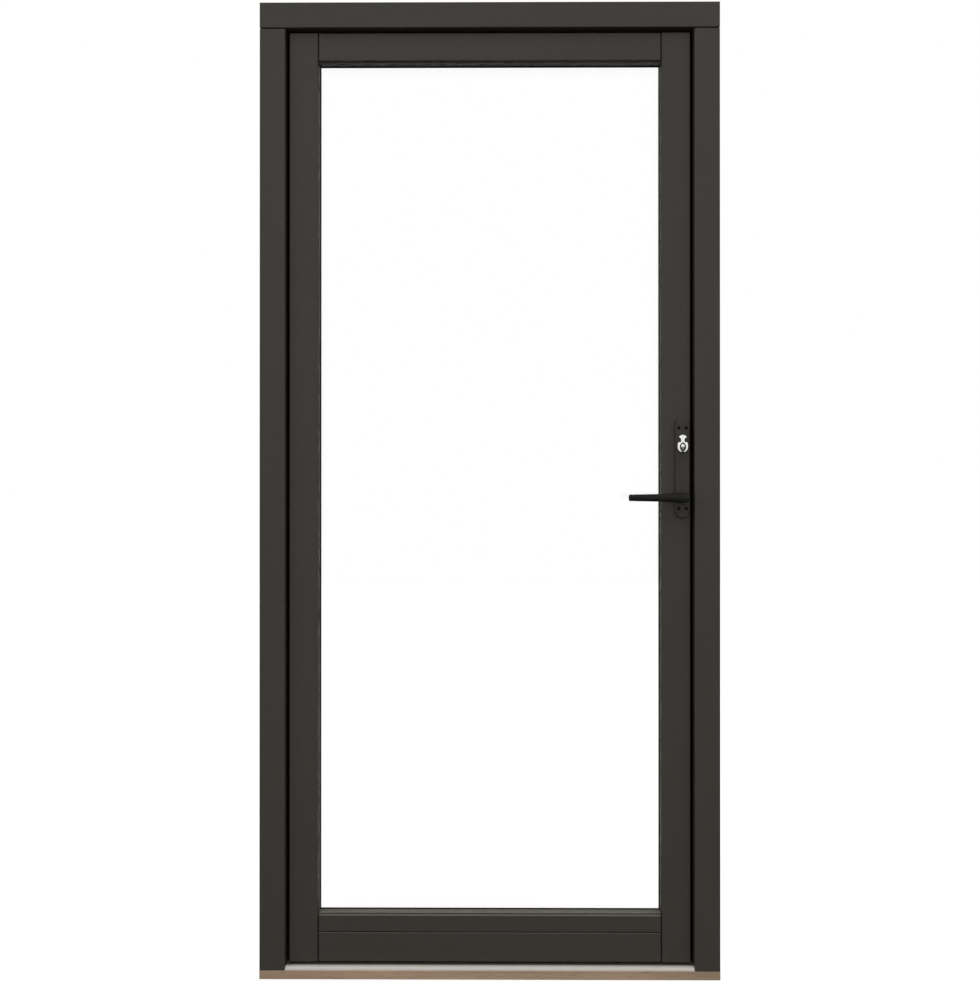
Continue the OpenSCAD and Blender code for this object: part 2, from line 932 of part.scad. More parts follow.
// Width runs along the lip from its middle, depth toward the stop
module gasket_section(width, root) {
    reach = gasket_gap - seat;
    bulb_r = (reach - base_t) / 2;
    run = bulb_w / 2 - bulb_r;
    translate([-width / 2, 0]) square([width, base_t]);
    if (root) rect([kerf_slack - kerf_w / 2, kerf_slack - kerf_d], [kerf_w / 2 - kerf_slack, base_t]);
    difference() {
        union() {
            for (s = [-1, 1]) translate([s * run, base_t + bulb_r]) circle(bulb_r);
            rect([-run, base_t], [run, reach]);
        }
        rect([-run, base_t + bulb_wall], [run, reach - bulb_wall]);
    }
}

module gasket_side() {
    width = lip_x - leaf_x - 2 * base_inset;
    run_z(lip_low + base_inset, lip_top - base_inset)
        translate([(leaf_x + lip_x) / 2, lip_y]) mirror([0, 1]) gasket_section(width, true);
}

// Cross gasket between the side gaskets; its root ends at the stiles
module gasket_cross(z, width) {
    end_x = leaf_x + base_inset;
    run_x(-end_x, end_x) translate([lip_y, z]) rotate(90) gasket_section(width, false);
    run_x(-bed_x, bed_x) translate([lip_y, z]) rotate(90) gasket_section(width, true);
}

module gasket_left() {
    finish(rubber_c) mirror([1, 0, 0]) gasket_side();
}

module gasket_right() {
    finish(rubber_c) gasket_side();
}

module gasket_top() {
    finish(rubber_c) gasket_cross((leaf_top + lip_top) / 2, lip_top - leaf_top - 2 * base_inset);
}

module gasket_bottom() {
    finish(rubber_c) gasket_cross((leaf_low + lip_low) / 2, leaf_low - lip_low - 2 * base_inset);
}

// Aluminium nosing that throws rain clear of the sill
module drip_bar() {
    low = lip_low + drip_bar_rise;
    end_x = lip_x - arris_r;
    finish(alu_c) run_x(-end_x, end_x) polygon([
        [leaf_back, low], [leaf_back + drip_bar_t, low - strip_t], [leaf_back + drip_bar_t, low + strip_t],
        [leaf_back + strip_t, low + drip_bar_h], [leaf_back, low + drip_bar_h]
    ]);
}

// Lock

// Axes of the lever and the thumbturn, from the frame's inside face outward
module lock_axes() {
    for (z = [lever_z, turn_z]) translate([lever_x, 0, z]) rotate([-90, 0, 0]) children();
}

// Places of the plate screws, heads on both plates' faces
module plate_screw_places() {
    for (z = plate_screw_zs) for (s = [-1, 1]) translate([lever_x + s * plate_screw_x, 0, z]) {
        translate([0, plate_in, 0]) rotate([90, 0, 0]) children();
        translate([0, plate_out, 0]) rotate([-90, 0, 0]) children();
    }
}

module face_screw_places() {
    for (z = face_screw_zs) translate([lip_x, edge_y, z]) rotate([0, 90, 0]) children();
}

module lock_case() {
    finish(steel_c) difference() {
        box([case_x, edge_y - case_half, case_low], [face_x, edge_y + case_half, case_top]);
        translate([lever_x, 0, lever_z]) rotate([-90, 0, 0])
            cylinder(h = leaf_back, r = follower_r + run_fit);
        translate([lever_x, 0, turn_z]) rotate([-90, 0, 0]) cylinder(h = leaf_back, r = cam_r);
        bolt_hole(bolt_tip - bolt_len - seat, face_x + slack);
        rod_hole(case_top - rod_grip - seat, case_top + slack);
        rod_hole(case_low - slack, case_low + rod_grip + seat);
    }
}

module faceplate() {
    finish(steel_c) difference() {
        box([face_x, edge_y - face_half, lower_end], [lip_x, edge_y + face_half, upper_end]);
        bolt_hole(face_x - slack, lip_x + slack);
        face_screw_places() screw_hole(screw_head_r, screw_r, face_screw_len);
    }
}

module faceplate_screws() {
    finish(steel_c) face_screw_places() screw(screw_head_r, screw_r, face_screw_len);
}

// Long plate with round ends and eased edges, lying on the leaf's inside face
module long_plate() {
    half = plate_w / 2;
    low = lever_z - plate_below + half;
    high = lever_z + plate_above - half;
    translate([lever_x, leaf_recess, 0]) rotate([90, 0, 0]) {
        for (z = [low, high]) translate([0, z, 0]) rotate_extrude() plate_half_section();
        translate([0, high, 0]) rotate([90, 0, 0]) linear_extrude(high - low) {
            plate_half_section();
            mirror([1, 0]) plate_half_section();
        }
    }
}

module plate_half_section() {
    difference() {
        square([plate_w / 2, plate_t]);
        translate([plate_w / 2, plate_t]) rotate(180) corner_cut(plate_r);
    }
}

module plate_inside() {
    finish(paint_c) difference() {
        long_plate();
        translate([lever_x, 0, lever_z]) rotate([-90, 0, 0]) cylinder(h = leaf_back, r = boss_r + run_fit);
        translate([lever_x, 0, turn_z]) rotate([-90, 0, 0]) cylinder(h = leaf_back, r = stem_r + run_fit);
        plate_screw_places() screw_hole(plate_screw_head_r, plate_screw_r, plate_screw_len);
    }
}

module plate_outside() {
    finish(paint_c) difference() {
        translate([0, 2 * mid_y, 0]) mirror([0, 1, 0]) long_plate();
        translate([lever_x, mid_y, turn_z]) rotate([-90, 0, 0]) cylinder(h = leaf_back, r = cylinder_r + fit);
        plate_screw_places() screw_hole(plate_screw_head_r, plate_screw_r, plate_screw_len);
    }
}

module plate_screws() {
    finish(black_c) plate_screw_places() screw(plate_screw_head_r, plate_screw_r, plate_screw_len);
}

module key_cylinder() {
    y0 = edge_y + case_half + fit;
    y1 = plate_out + plug_proud;
    finish(steel_c) translate([lever_x, y0, turn_z]) rotate([-90, 0, 0]) difference() {
        cylinder(h = y1 - y0, r = cylinder_r);
        translate([0, 0, -slack]) cylinder(h = leaf_t, r = plug_r + run_fit);
    }
}

module key_plug() {
    y0 = edge_y + case_half + fit;
    y1 = plate_out + plug_proud;
    finish(chrome_c) difference() {
        translate([lever_x, y0, turn_z]) rotate([-90, 0, 0]) difference() {
            cylinder(h = y1 - y0, r = plug_r);
            translate([-key_slot[0] / 2, -key_slot[1] / 2, boss_len])
                cube([key_slot[0], key_slot[1], leaf_t]);
        }
        tail_bar(fit);
    }
}

// Fixed pull on the outside plate: two collared posts and a round bar
module pull_outside() {
    bend_y = pull_reach - pull_bend;
    finish(black_c) translate([lever_x, plate_out, 0]) {
        for (z = [pull_low, pull_high]) translate([0, 0, z]) rotate([-90, 0, 0]) {
            cylinder(h = bend_y, r = pull_r);
            cylinder(h = pull_foot_t, r = pull_foot_r);
        }
        translate([0, bend_y, pull_low + pull_bend]) rotate([0, 90, 0]) pull_elbow();
        translate([0, bend_y, pull_high - pull_bend]) rotate([0, -90, 0]) pull_elbow();
        translate([0, pull_reach, pull_low + pull_bend])
            cylinder(h = pull_high - pull_low - 2 * pull_bend, r = pull_r);
    }
}

module pull_elbow() {
    rotate_extrude(angle = 90) translate([pull_bend, 0]) circle(pull_r);
}

// Half outline of the lever's bar: a neck, a slower taper and a straight cap behind a fine groove
module bar_half_section() {
    bar_len = lever_len - elbow_r;
    cap_at = bar_len - cap_len;
    difference() {
        polygon([
            [0, 0], [neck_r, 0], [waist_r, waist_len],
            [tip_r, cap_at], [tip_r, bar_len], [0, bar_len]
        ]);
        rect([tip_r - cap_groove_d, cap_at], [neck_r, cap_at + cap_groove_w]);
        translate([tip_r, bar_len]) rotate(180) corner_cut(cap_edge_r);
    }
}

// Lever: boss in the plate, neck, round elbow and tapering bar
module lever_inside() {
    face = plate_in - seat;
    bar_y = plate_in - lever_reach;
    bend_y = bar_y + elbow_r;
    finish(black_c) difference() {
        translate([lever_x, 0, lever_z]) {
            translate([0, bend_y, 0]) rotate([-90, 0, 0]) cylinder(h = face - bend_y, r = neck_r);
            translate([0, face - slack, 0]) rotate([-90, 0, 0]) cylinder(h = boss_len + slack, r = boss_r);
            translate([-elbow_r, bend_y, 0]) rotate([0, 0, -90]) rotate_extrude(angle = 90)
                translate([elbow_r, 0]) circle(neck_r);
            translate([-elbow_r, bar_y, 0]) rotate([0, -90, 0]) rotate_extrude() bar_half_section();
        }
        spindle_bar(fit);
    }
}

// Square bar from the lever through the follower
module spindle_bar(extra) {
    half = spindle_w / 2 + extra;
    end = plate_in - lever_reach / 2;
    box(
        [lever_x - half, end - extra, lever_z - half],
        [lever_x + half, edge_y + case_half - slack + extra, lever_z + half]
    );
}

module spindle() {
    finish(steel_c) spindle_bar(0);
}

module follower() {
    finish(steel_c) difference() {
        translate([lever_x, edge_y - case_half, lever_z]) rotate([-90, 0, 0])
            cylinder(h = 2 * case_half, r = follower_r);
        spindle_bar(fit);
    }
}

// Flat rod behind the faceplate; slots clear the faceplate screws over its travel
module rod(z0, z1, slot_shift) {
    difference() {
        box([rod_x, edge_y - rod_half, z0], [rod_x + rod_t, edge_y + rod_half, z1]);
        for (z = face_screw_zs) if (z > z0 && z < z1) {
            for (end = [z, z + slot_shift]) translate([rod_x - slack, edge_y, end]) rotate([0, 90, 0])
                cylinder(h = rod_t + 2 * slack, r = rod_slot_r);
            box(
                [rod_x - slack, edge_y - rod_slot_r, min(z, z + slot_shift)],
                [rod_x + rod_t + slack, edge_y + rod_slot_r, max(z, z + slot_shift)]
            );
        }
    }
}

module upper_rod() {
    finish(steel_c) rod(case_top - rod_grip, upper_end, -throw_len);
}

module lower_rod() {
    finish(steel_c) rod(lower_end, case_low + rod_grip, throw_len);
}

// Outline of the thumbturn's hub, broad at the shoulders and flat at head and foot
module hub_outline(inset) {
    difference() {
        union() {
            circle(turn_r - inset);
            translate([0, shoulder_rise]) circle(turn_r + shoulder_over - inset);
        }
        rect([-turn_r, -turn_r - slack], [turn_r, inset - hub_foot]);
        rect([-turn_r, hub_head - inset], [turn_r, 2 * turn_r]);
    }
}

// Outline of the thumbturn: hub, hollowed neck and wing with an arched top
module turn_outline() {
    hub_outline(0);
    difference() {
        intersection() {
            rect([-wing_half, 0], [wing_half, wing_top]);
            union() {
                translate([0, wing_top - wing_arch_r]) circle(wing_arch_r);
                rect([-wing_half, 0], [wing_half, wing_top - wing_arch_r]);
            }
        }
        for (s = [-1, 1]) translate([s * (wing_neck + neck_hollow_r), neck_z]) circle(neck_hollow_r);
    }
}

// Almond between two equal arcs
module almond(r, shift) {
    intersection() {
        translate([-shift, 0]) circle(r);
        translate([shift, 0]) circle(r);
    }
}

// Thumbturn: an almond eye sunk in its hub, with a domed button standing in the eye
module thumbturn() {
    face = plate_in - seat;
    front = face - turn_t;
    finish(chrome_c) difference() {
        translate([lever_x, 0, turn_z]) {
            difference() {
                union() {
                    run_y(face - wing_t, face) turn_outline();
                    run_y(front, face) hub_outline(arris_r / 2);
                }
                run_y(front - slack, front + eye_d) almond(eye_r, eye_shift);
            }
            translate([0, 0, button_rise]) intersection() {
                run_y(front - slack, face) almond(button_r, button_shift);
                translate([0, front + button_dome_r, 0]) sphere(button_dome_r);
            }
            translate([0, face - slack, 0]) rotate([-90, 0, 0]) cylinder(h = plate_t + slack, r = stem_r);
        }
        tail_bar(fit);
    }
}

// Flat tailpiece from the thumbturn through the case to the key plug
module tail_bar(extra) {
    y1 = edge_y + case_half + boss_len - slack;
    box(
        [lever_x - tail_t / 2 - extra, plate_in + slack, turn_z - tail_w / 2 - extra],
        [lever_x + tail_t / 2 + extra, y1, turn_z + tail_w / 2 + extra]
    );
}

module tailpiece() {
    finish(steel_c) tail_bar(0);
}

module deadbolt() {
    finish(steel_c) box(
        [bolt_tip - bolt_len, edge_y - bolt_half, bolt_z - bolt_h / 2],
        [bolt_tip, edge_y + bolt_half, bolt_z + bolt_h / 2]
    );
}

frame_head();
hinge_jamb();
lock_jamb();
threshold();
sill_plate();
head_keeper();
lock_keeper();
keeper_screws();
corner_screws();
fixing_sleeves();
hinge_frame(0);  // hinge_frame_1
hinge_frame(1);  // hinge_frame_2
hinge_frame(2);  // hinge_frame_3
hinge_pins();
hinge_washers();
hinge_frame_screws();
hinge_stile();
lock_stile();
top_rail();
bottom_rail();
kick_rail();
leaf_dowels();
pane(0);  // pane_inner
pane(1);  // pane_middle
pane(2);  // pane_outer
glass_spacers();
glazing_seals();
bead_left();
bead_right();
bead_top();
bead_bottom();
setting_blocks();
gasket_left();
gasket_right();
gasket_top();
gasket_bottom();
drip_bar();
hinge_leaf(0);  // hinge_leaf_1
hinge_leaf(1);  // hinge_leaf_2
hinge_leaf(2);  // hinge_leaf_3
hinge_leaf_screws();
lock_case();
faceplate();
faceplate_screws();
plate_inside();
plate_outside();
plate_screws();
key_cylinder();
pull_outside();
lever_inside();
spindle();
follower();
upper_rod();
lower_rod();
thumbturn();
tailpiece();
key_plug();
deadbolt();
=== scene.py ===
"""Finishes of a glazed terrace door: paint, oak, metals, glass, seals and screws, in a plain studio."""
import json
import math

import bmesh
import bpy
from bpy.props import FloatProperty, FloatVectorProperty, IntProperty, PointerProperty
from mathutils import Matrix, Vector


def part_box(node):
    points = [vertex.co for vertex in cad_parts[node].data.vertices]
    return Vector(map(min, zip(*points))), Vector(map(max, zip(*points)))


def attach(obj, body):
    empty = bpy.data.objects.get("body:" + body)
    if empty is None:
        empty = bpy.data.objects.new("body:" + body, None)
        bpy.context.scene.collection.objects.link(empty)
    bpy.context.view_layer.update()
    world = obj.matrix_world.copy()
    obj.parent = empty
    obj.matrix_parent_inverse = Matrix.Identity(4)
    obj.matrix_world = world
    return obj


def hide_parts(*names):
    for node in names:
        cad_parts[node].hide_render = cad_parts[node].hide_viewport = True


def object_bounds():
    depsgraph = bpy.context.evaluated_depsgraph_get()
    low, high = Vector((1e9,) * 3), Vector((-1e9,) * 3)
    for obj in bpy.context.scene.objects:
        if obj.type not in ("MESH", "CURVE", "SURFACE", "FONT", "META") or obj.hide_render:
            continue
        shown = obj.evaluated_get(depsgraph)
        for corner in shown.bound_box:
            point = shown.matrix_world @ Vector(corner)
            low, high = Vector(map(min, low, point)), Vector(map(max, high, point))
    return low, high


bl_info = {
    "name": "Glazed Terrace Door",
    "version": (1, 0, 0),
    "blender": (4, 5, 0),
    "location": "3D View > Sidebar > Door",
    "description": "Finishes a glazed terrace door and sets it in a plain studio",
    "category": "Object",
}

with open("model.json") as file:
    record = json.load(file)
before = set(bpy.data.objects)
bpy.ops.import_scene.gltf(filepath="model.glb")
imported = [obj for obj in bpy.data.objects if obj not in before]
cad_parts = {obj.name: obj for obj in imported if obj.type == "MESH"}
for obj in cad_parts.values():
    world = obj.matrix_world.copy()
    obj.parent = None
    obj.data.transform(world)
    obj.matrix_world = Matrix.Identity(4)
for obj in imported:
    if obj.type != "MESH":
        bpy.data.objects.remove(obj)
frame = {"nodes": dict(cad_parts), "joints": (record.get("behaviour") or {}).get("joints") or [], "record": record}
CAD_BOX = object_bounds()


def linear(*display):
    """Linear colour of a display colour given in 0 to 255."""
    parts = [c / 255 for c in display]
    return tuple(c / 12.92 if c <= 0.04045 else ((c + 0.055) / 1.055) ** 2.4 for c in parts)


def colour(label, words, value):
    """Colour property of one finish."""
    return FloatVectorProperty(name=label, description=words, subtype="COLOR", default=value, min=0, max=1)


class DoorFinishes(bpy.types.PropertyGroup):
    """Colours and grain of the door's finishes."""
    paint: colour("Timber paint", "Paint of the frame and the leaf", linear(56, 53, 48))
    # Painted light: upward faces are lightened as if lit from above.
    painted_top_light: colour("Dust", "Dust on the paint's upward faces", linear(112, 108, 100))
    oak_light: colour("Oak, light", "Early wood of the threshold", linear(168, 144, 120))
    oak_dark: colour("Oak, dark", "Late wood and pores of the threshold", linear(132, 112, 92))
    beech: colour("Beech", "Dowels in the rail joints", linear(197, 163, 122))
    aluminium: colour("Aluminium", "Anodised wear strip and drip bar", linear(190, 185, 178))
    # Painted shade: this colour stands for the shadow in the gap under the shut leaf and in the jambs' corners.
    gap_shade: colour("Dirt", "Dirt on the wear strip under the shut leaf", linear(108, 103, 93))
    zinc: colour("Zinc", "Plated hinges, keepers and lock gear", linear(178, 178, 174))
    plate: colour("Plate coat", "Powder coat of the long plates", linear(52, 49, 46))
    black: colour("Black coat", "Coat of the lever and the outside pull", linear(28, 27, 25))
    screw_black: colour("Black screws", "Blackened screws of the long plates", linear(14, 13, 12))
    chrome: colour("Chrome", "Thumbturn and key plug", linear(236, 236, 234))
    # Painted shade and reflection: the dark ground of the eye stands for the chrome's dark reflection and the
    # shade in its hollow.
    enamel: colour("Eye enamel", "Dark ground of the thumbturn's eye", linear(52, 50, 48))
    glass: colour("Glass", "Panes", (1.0, 1.0, 1.0))
    sheen: colour("Glass sheen", "Strength of the mirror image in the panes", (0.25, 0.25, 0.25))
    spacer: colour("Spacer", "Edge spacers of the glass unit", linear(42, 42, 42))
    rubber: colour("Rubber", "Gaskets and glazing seals", linear(20, 19, 17))
    plastic: colour("Plastic", "Setting blocks under the glass", linear(84, 88, 90))
    stroke: FloatProperty(
        name="Brush stroke", description="Width of the brush marks in the paint",
        default=0.0016, min=0.0004, max=0.01, subtype="DISTANCE", unit="LENGTH")
    pore: FloatProperty(
        name="Oak pore", description="Width of the pores in the threshold",
        default=0.0008, min=0.0002, max=0.005, subtype="DISTANCE", unit="LENGTH")


class DoorScrews(bpy.types.PropertyGroup):
    """Sizes of the screw heads' cross recess, as shares of the head."""
    sides: IntProperty(
        name="Sides", description="Sides of a screw's round parts", default=28, min=12, max=64)
    recess_reach: FloatProperty(
        name="Recess reach", description="Length of the cross over the head's width",
        default=0.58, min=0.3, max=0.8, subtype="FACTOR")
    recess_width: FloatProperty(
        name="Recess width", description="Width of the cross over the head's width",
        default=0.15, min=0.05, max=0.3, subtype="FACTOR")
    recess_depth: FloatProperty(
        name="Recess depth", description="Depth of the cross over the head's height",
        default=0.7, min=0.2, max=0.9, subtype="FACTOR")
    seed: IntProperty(
        name="Seed", description="Fixes how far each screw was turned home", default=7, min=0)


class DoorStudio(bpy.types.PropertyGroup):
    """Camera, lamps and floor."""
    eye: FloatVectorProperty(
        name="Camera", description="Place of the camera", default=(0.01736, -2.6525, 1.08124),
        subtype="TRANSLATION", unit="LENGTH")
    tilt: FloatProperty(
        name="Tilt", description="Upward tilt of the camera", default=0.00223,
        subtype="ANGLE", unit="ROTATION")
    pan: FloatProperty(
        name="Pan", description="Turn of the camera to the left", default=0.00633,
        subtype="ANGLE", unit="ROTATION")
    lens: FloatProperty(
        name="Lens", description="Focal length", default=44.9, min=10, max=200, unit="CAMERA")
    rise: FloatProperty(
        name="Rise", description="Vertical shift of the view", default=-0.0227, min=-0.2, max=0.2)
    key: FloatProperty(
        name="Key lamp", description="Power of the large lamp above the room", default=80,
        min=0, unit="POWER")
    fill: FloatProperty(
        name="Back lamp", description="Power of the lamp behind the door", default=40, min=0, unit="POWER")
    ambient: FloatProperty(
        name="Ambient", description="Light that comes from all round", default=1.45, min=0, max=2)
    lift: FloatProperty(
        name="Floor lift", description="White added to the floor where it is seen", default=0.85,
        min=0, max=1)
    floor: FloatProperty(
        name="Floor", description="Half width of the floor", default=9, min=2,
        subtype="DISTANCE", unit="LENGTH")


# Nodes and node groups

NOISE_LOW, NOISE_HIGH = 0.3, 0.7  # most of a noise's values lie between these


def add(tree, kind, inputs=None, **settings):
    """New node with its settings; an input is a value or a socket to link."""
    node = tree.nodes.new(kind)
    for name, value in settings.items():
        setattr(node, name, value)
    for name, value in (inputs or {}).items():
        if isinstance(value, bpy.types.NodeSocket):
            tree.links.new(value, node.inputs[name])
        else:
            node.inputs[name].default_value = value
    return node


def ramp(tree, value, low, high, bottom=0.0, top=1.0):
    """Value spread from one range onto another."""
    spread = add(tree, "ShaderNodeMapRange", {
        "Value": value, "From Min": low, "From Max": high, "To Min": bottom, "To Max": top})
    return spread.outputs["Result"]


def blend(tree, share, first, second):
    """Two colours mixed by a share."""
    return add(tree, "ShaderNodeMix", {"Factor": share, 6: first, 7: second}, data_type="RGBA").outputs[2]


def calc(tree, operation, first, second=0.0):
    """One arithmetic step."""
    return add(tree, "ShaderNodeMath", {0: first, 1: second}, operation=operation).outputs[0]


def new_group(name, inputs, outputs, kind="ShaderNodeTree"):
    """Empty node group with named sockets; returns the tree and its two end nodes."""
    tree = bpy.data.node_groups.new(name, kind)
    for label, socket, value in inputs:
        item = tree.interface.new_socket(label, in_out="INPUT", socket_type=socket)
        if value is not None:
            item.default_value = value
    for label, socket in outputs:
        tree.interface.new_socket(label, in_out="OUTPUT", socket_type=socket)
    return tree, tree.nodes.new("NodeGroupInput"), tree.nodes.new("NodeGroupOutput")


def drift_group():
    """Two colours that drift into each other over the surface."""
    tree, start, end = new_group(
        "Colour Drift",
        [("Vector", "NodeSocketVector", None), ("Scale", "NodeSocketFloat", 4.0),
         ("Detail", "NodeSocketFloat", 3.0), ("Dark", "NodeSocketColor", None),
         ("Light", "NodeSocketColor", None)],
        [("Colour", "NodeSocketColor")])
    given = start.outputs
    noise = add(tree, "ShaderNodeTexNoise", {
        "Vector": given["Vector"], "Scale": given["Scale"], "Detail": given["Detail"]})
    spread = ramp(tree, noise.outputs["Fac"], NOISE_LOW, NOISE_HIGH)
    tree.links.new(blend(tree, spread, given["Dark"], given["Light"]), end.inputs["Colour"])
    return tree


def lines_group():
    """Fine lines drawn out along one axis: brush strokes, pores or rolling marks."""
    tree, start, end = new_group(
        "Drawn Lines",
        [("Vector", "NodeSocketVector", None), ("Stretch", "NodeSocketVector", None),
         ("Scale", "NodeSocketFloat", 600.0), ("Waver", "NodeSocketFloat", 0.0)],
        [("Lines", "NodeSocketFloat"), ("Strands", "NodeSocketFloat")])
    given = start.outputs
    strand_scale = calc(tree, "MULTIPLY", given["Scale"], 0.12)
    drawn = add(tree, "ShaderNodeVectorMath", {
        0: given["Vector"], 1: given["Stretch"]}, operation="MULTIPLY").outputs["Vector"]
    fine = add(tree, "ShaderNodeTexNoise", {
        "Vector": drawn, "Scale": given["Scale"], "Detail": 2.0, "Distortion": given["Waver"]})
    coarse = add(tree, "ShaderNodeTexNoise", {
        "Vector": drawn, "Scale": strand_scale, "Detail": 3.0, "Distortion": given["Waver"]})
    tree.links.new(ramp(tree, fine.outputs["Fac"], 0.35, 0.65), end.inputs["Lines"])
    tree.links.new(ramp(tree, coarse.outputs["Fac"], NOISE_LOW, NOISE_HIGH), end.inputs["Strands"])
    return tree


def gloss_group():
    """Uneven gloss between two roughness values."""
    tree, start, end = new_group(
        "Uneven Gloss",
        [("Vector", "NodeSocketVector", None), ("Scale", "NodeSocketFloat", 30.0),
         ("Smooth", "NodeSocketFloat", 0.3), ("Rough", "NodeSocketFloat", 0.5)],
        [("Roughness", "NodeSocketFloat")])
    given = start.outputs
    noise = add(tree, "ShaderNodeTexNoise", {
        "Vector": given["Vector"], "Scale": given["Scale"], "Detail": 4.0})
    spread = ramp(tree, noise.outputs["Fac"], NOISE_LOW, NOISE_HIGH, given["Smooth"], given["Rough"])
    tree.links.new(spread, end.inputs["Roughness"])
    return tree


def peel_group():
    """Fine bumps of sprayed and cast surfaces."""
    tree, start, end = new_group(
        "Orange Peel",
        [("Vector", "NodeSocketVector", None), ("Grain", "NodeSocketFloat", 900.0)],
        [("Height", "NodeSocketFloat")])
    given = start.outputs
    cells = add(tree, "ShaderNodeTexVoronoi", {
        "Vector": given["Vector"], "Scale": given["Grain"], "Smoothness": 1.0}, feature="SMOOTH_F1")
    noise = add(tree, "ShaderNodeTexNoise", {
        "Vector": given["Vector"], "Scale": given["Grain"], "Detail": 2.0})
    height = calc(tree, "ADD", cells.outputs["Distance"], noise.outputs["Fac"])
    tree.links.new(height, end.inputs["Height"])
    return tree


GROUPS = {}


def group(tree, name, **inputs):
    """Shared group placed in a material, built the first time it is used."""
    makers = {"drift": drift_group, "lines": lines_group, "gloss": gloss_group, "peel": peel_group}
    if name not in GROUPS:
        GROUPS[name] = makers[name]()
    return add(tree, "ShaderNodeGroup", {k.title(): v for k, v in inputs.items()}, node_tree=GROUPS[name])


def new_material(name, **constants):
    """Material with a Principled shader; returns it with its tree, shader and object coordinates."""
    material = bpy.data.materials.new(name)
    material.use_nodes = True
    tree = material.node_tree
    tree.nodes.clear()
    shader = add(tree, "ShaderNodeBsdfPrincipled", {k.replace("_", " "): v for k, v in constants.items()})
    end = add(tree, "ShaderNodeOutputMaterial")
    tree.links.new(shader.outputs["BSDF"], end.inputs["Surface"])
    coords = add(tree, "ShaderNodeTexCoord").outputs["Object"]
    return material, tree, shader, coords


def shade(rgb, factor=1.0):
    """Colour made lighter or darker, with full alpha."""
    return (*(min(1.0, c * factor) for c in rgb), 1.0)


def bump(tree, height, distance, strength, under=None):
    """Bump node on a height, laid over another one."""
    inputs = {"Height": height, "Distance": distance, "Strength": strength}
    if under:
        inputs["Normal"] = under.outputs["Normal"]
    return add(tree, "ShaderNodeBump", inputs)


def cover(tree, shader, tint, gloss, relief):
    """Links a finish's colour, gloss and bumps to its shader."""
    tree.links.new(tint, shader.inputs["Base Color"])
    tree.links.new(gloss.outputs["Roughness"], shader.inputs["Roughness"])
    tree.links.new(relief.outputs["Normal"], shader.inputs["Normal"])


# Materials

UPRIGHT, LEVEL = (1, 1, 0.012), (0.012, 1, 1)  # stretch of the brush strokes
DRAWN, ROLLED = (0.01, 1, 1), (1, 1, 0.05)  # stretch of the marks in metal
DRAWN_SCALE, ROLLED_SCALE = 1800.0, 900.0


def timber_paint(name, along, finishes):
    """Satin paint on planed timber: brush strokes, grain, a drift of colour and painted light from above on upward
    faces.
    """
    material, tree, shader, coords = new_material(name, Specular_IOR_Level=0.2)
    drift = group(tree, "drift", vector=coords, scale=2.4, detail=4.0,
                  dark=shade(finishes.paint, 0.95), light=shade(finishes.paint, 1.05))
    strokes = group(tree, "lines", vector=coords, stretch=along, scale=1 / finishes.stroke, waver=0.2)
    strands = strokes.outputs["Strands"]
    share = ramp(tree, strands, 0, 1, 0, 0.3)
    tint = blend(tree, share, drift.outputs["Colour"], shade(finishes.paint, 0.9))
    facing = add(tree, "ShaderNodeSeparateXYZ", {0: add(tree, "ShaderNodeTexCoord").outputs["Normal"]})
    # Painted light: faces that point up are mixed toward a pale colour, as if lit from above.
    upward = ramp(tree, facing.outputs["Z"], 0.5, 0.9, 0, 0.65)
    top_lit = blend(tree, upward, tint, shade(finishes.painted_top_light))
    gloss = group(tree, "gloss", vector=coords, scale=45.0, smooth=0.44, rough=0.58)
    peel = group(tree, "peel", vector=coords, grain=1500.0)
    low = bump(tree, strands, 0.0006, 0.10)
    mid = bump(tree, strokes.outputs["Lines"], 0.0002, 0.12, low)
    cover(tree, shader, top_lit, gloss, bump(tree, peel.outputs["Height"], 0.0001, 0.10, mid))
    return material


def oak(finishes):
    """Oiled oak: bands of early and late wood, open pores and a paler walked middle."""
    material, tree, shader, coords = new_material("oiled_oak", Specular_IOR_Level=0.25)
    bands = group(tree, "lines", vector=coords, stretch=(0.04, 1, 1), scale=260.0, waver=0.8)
    pores = group(tree, "lines", vector=coords, stretch=(0.03, 1, 1), scale=1 / finishes.pore, waver=0.1)
    wood = group(tree, "drift", vector=coords, scale=5.0, detail=5.0,
                 dark=shade(finishes.oak_light, 0.9), light=shade(finishes.oak_light, 1.06))
    late = ramp(tree, bands.outputs["Strands"], 0, 1, 0.1, 0.75)
    banded = blend(tree, late, wood.outputs["Colour"], shade(finishes.oak_dark))
    pit = ramp(tree, pores.outputs["Lines"], 0.75, 1.0, 0, 0.55)
    pored = blend(tree, pit, banded, shade(finishes.oak_dark, 0.6))
    across = add(tree, "ShaderNodeSeparateXYZ", {0: coords}).outputs["X"]
    walked, jamb = 0.3, 0.49  # half widths of the walked middle and of the frame
    ends = ramp(tree, calc(tree, "ABSOLUTE", across), walked, jamb, 0, 0.5)
    worn = blend(tree, ends, pored, shade(finishes.oak_dark, 0.95))
    gloss = group(tree, "gloss", vector=coords, scale=25.0, smooth=0.45, rough=0.65)
    low = bump(tree, bands.outputs["Strands"], 0.0008, 0.12)
    cover(tree, shader, worn, gloss, bump(tree, pores.outputs["Lines"], 0.0003, 0.2, low))
    return material


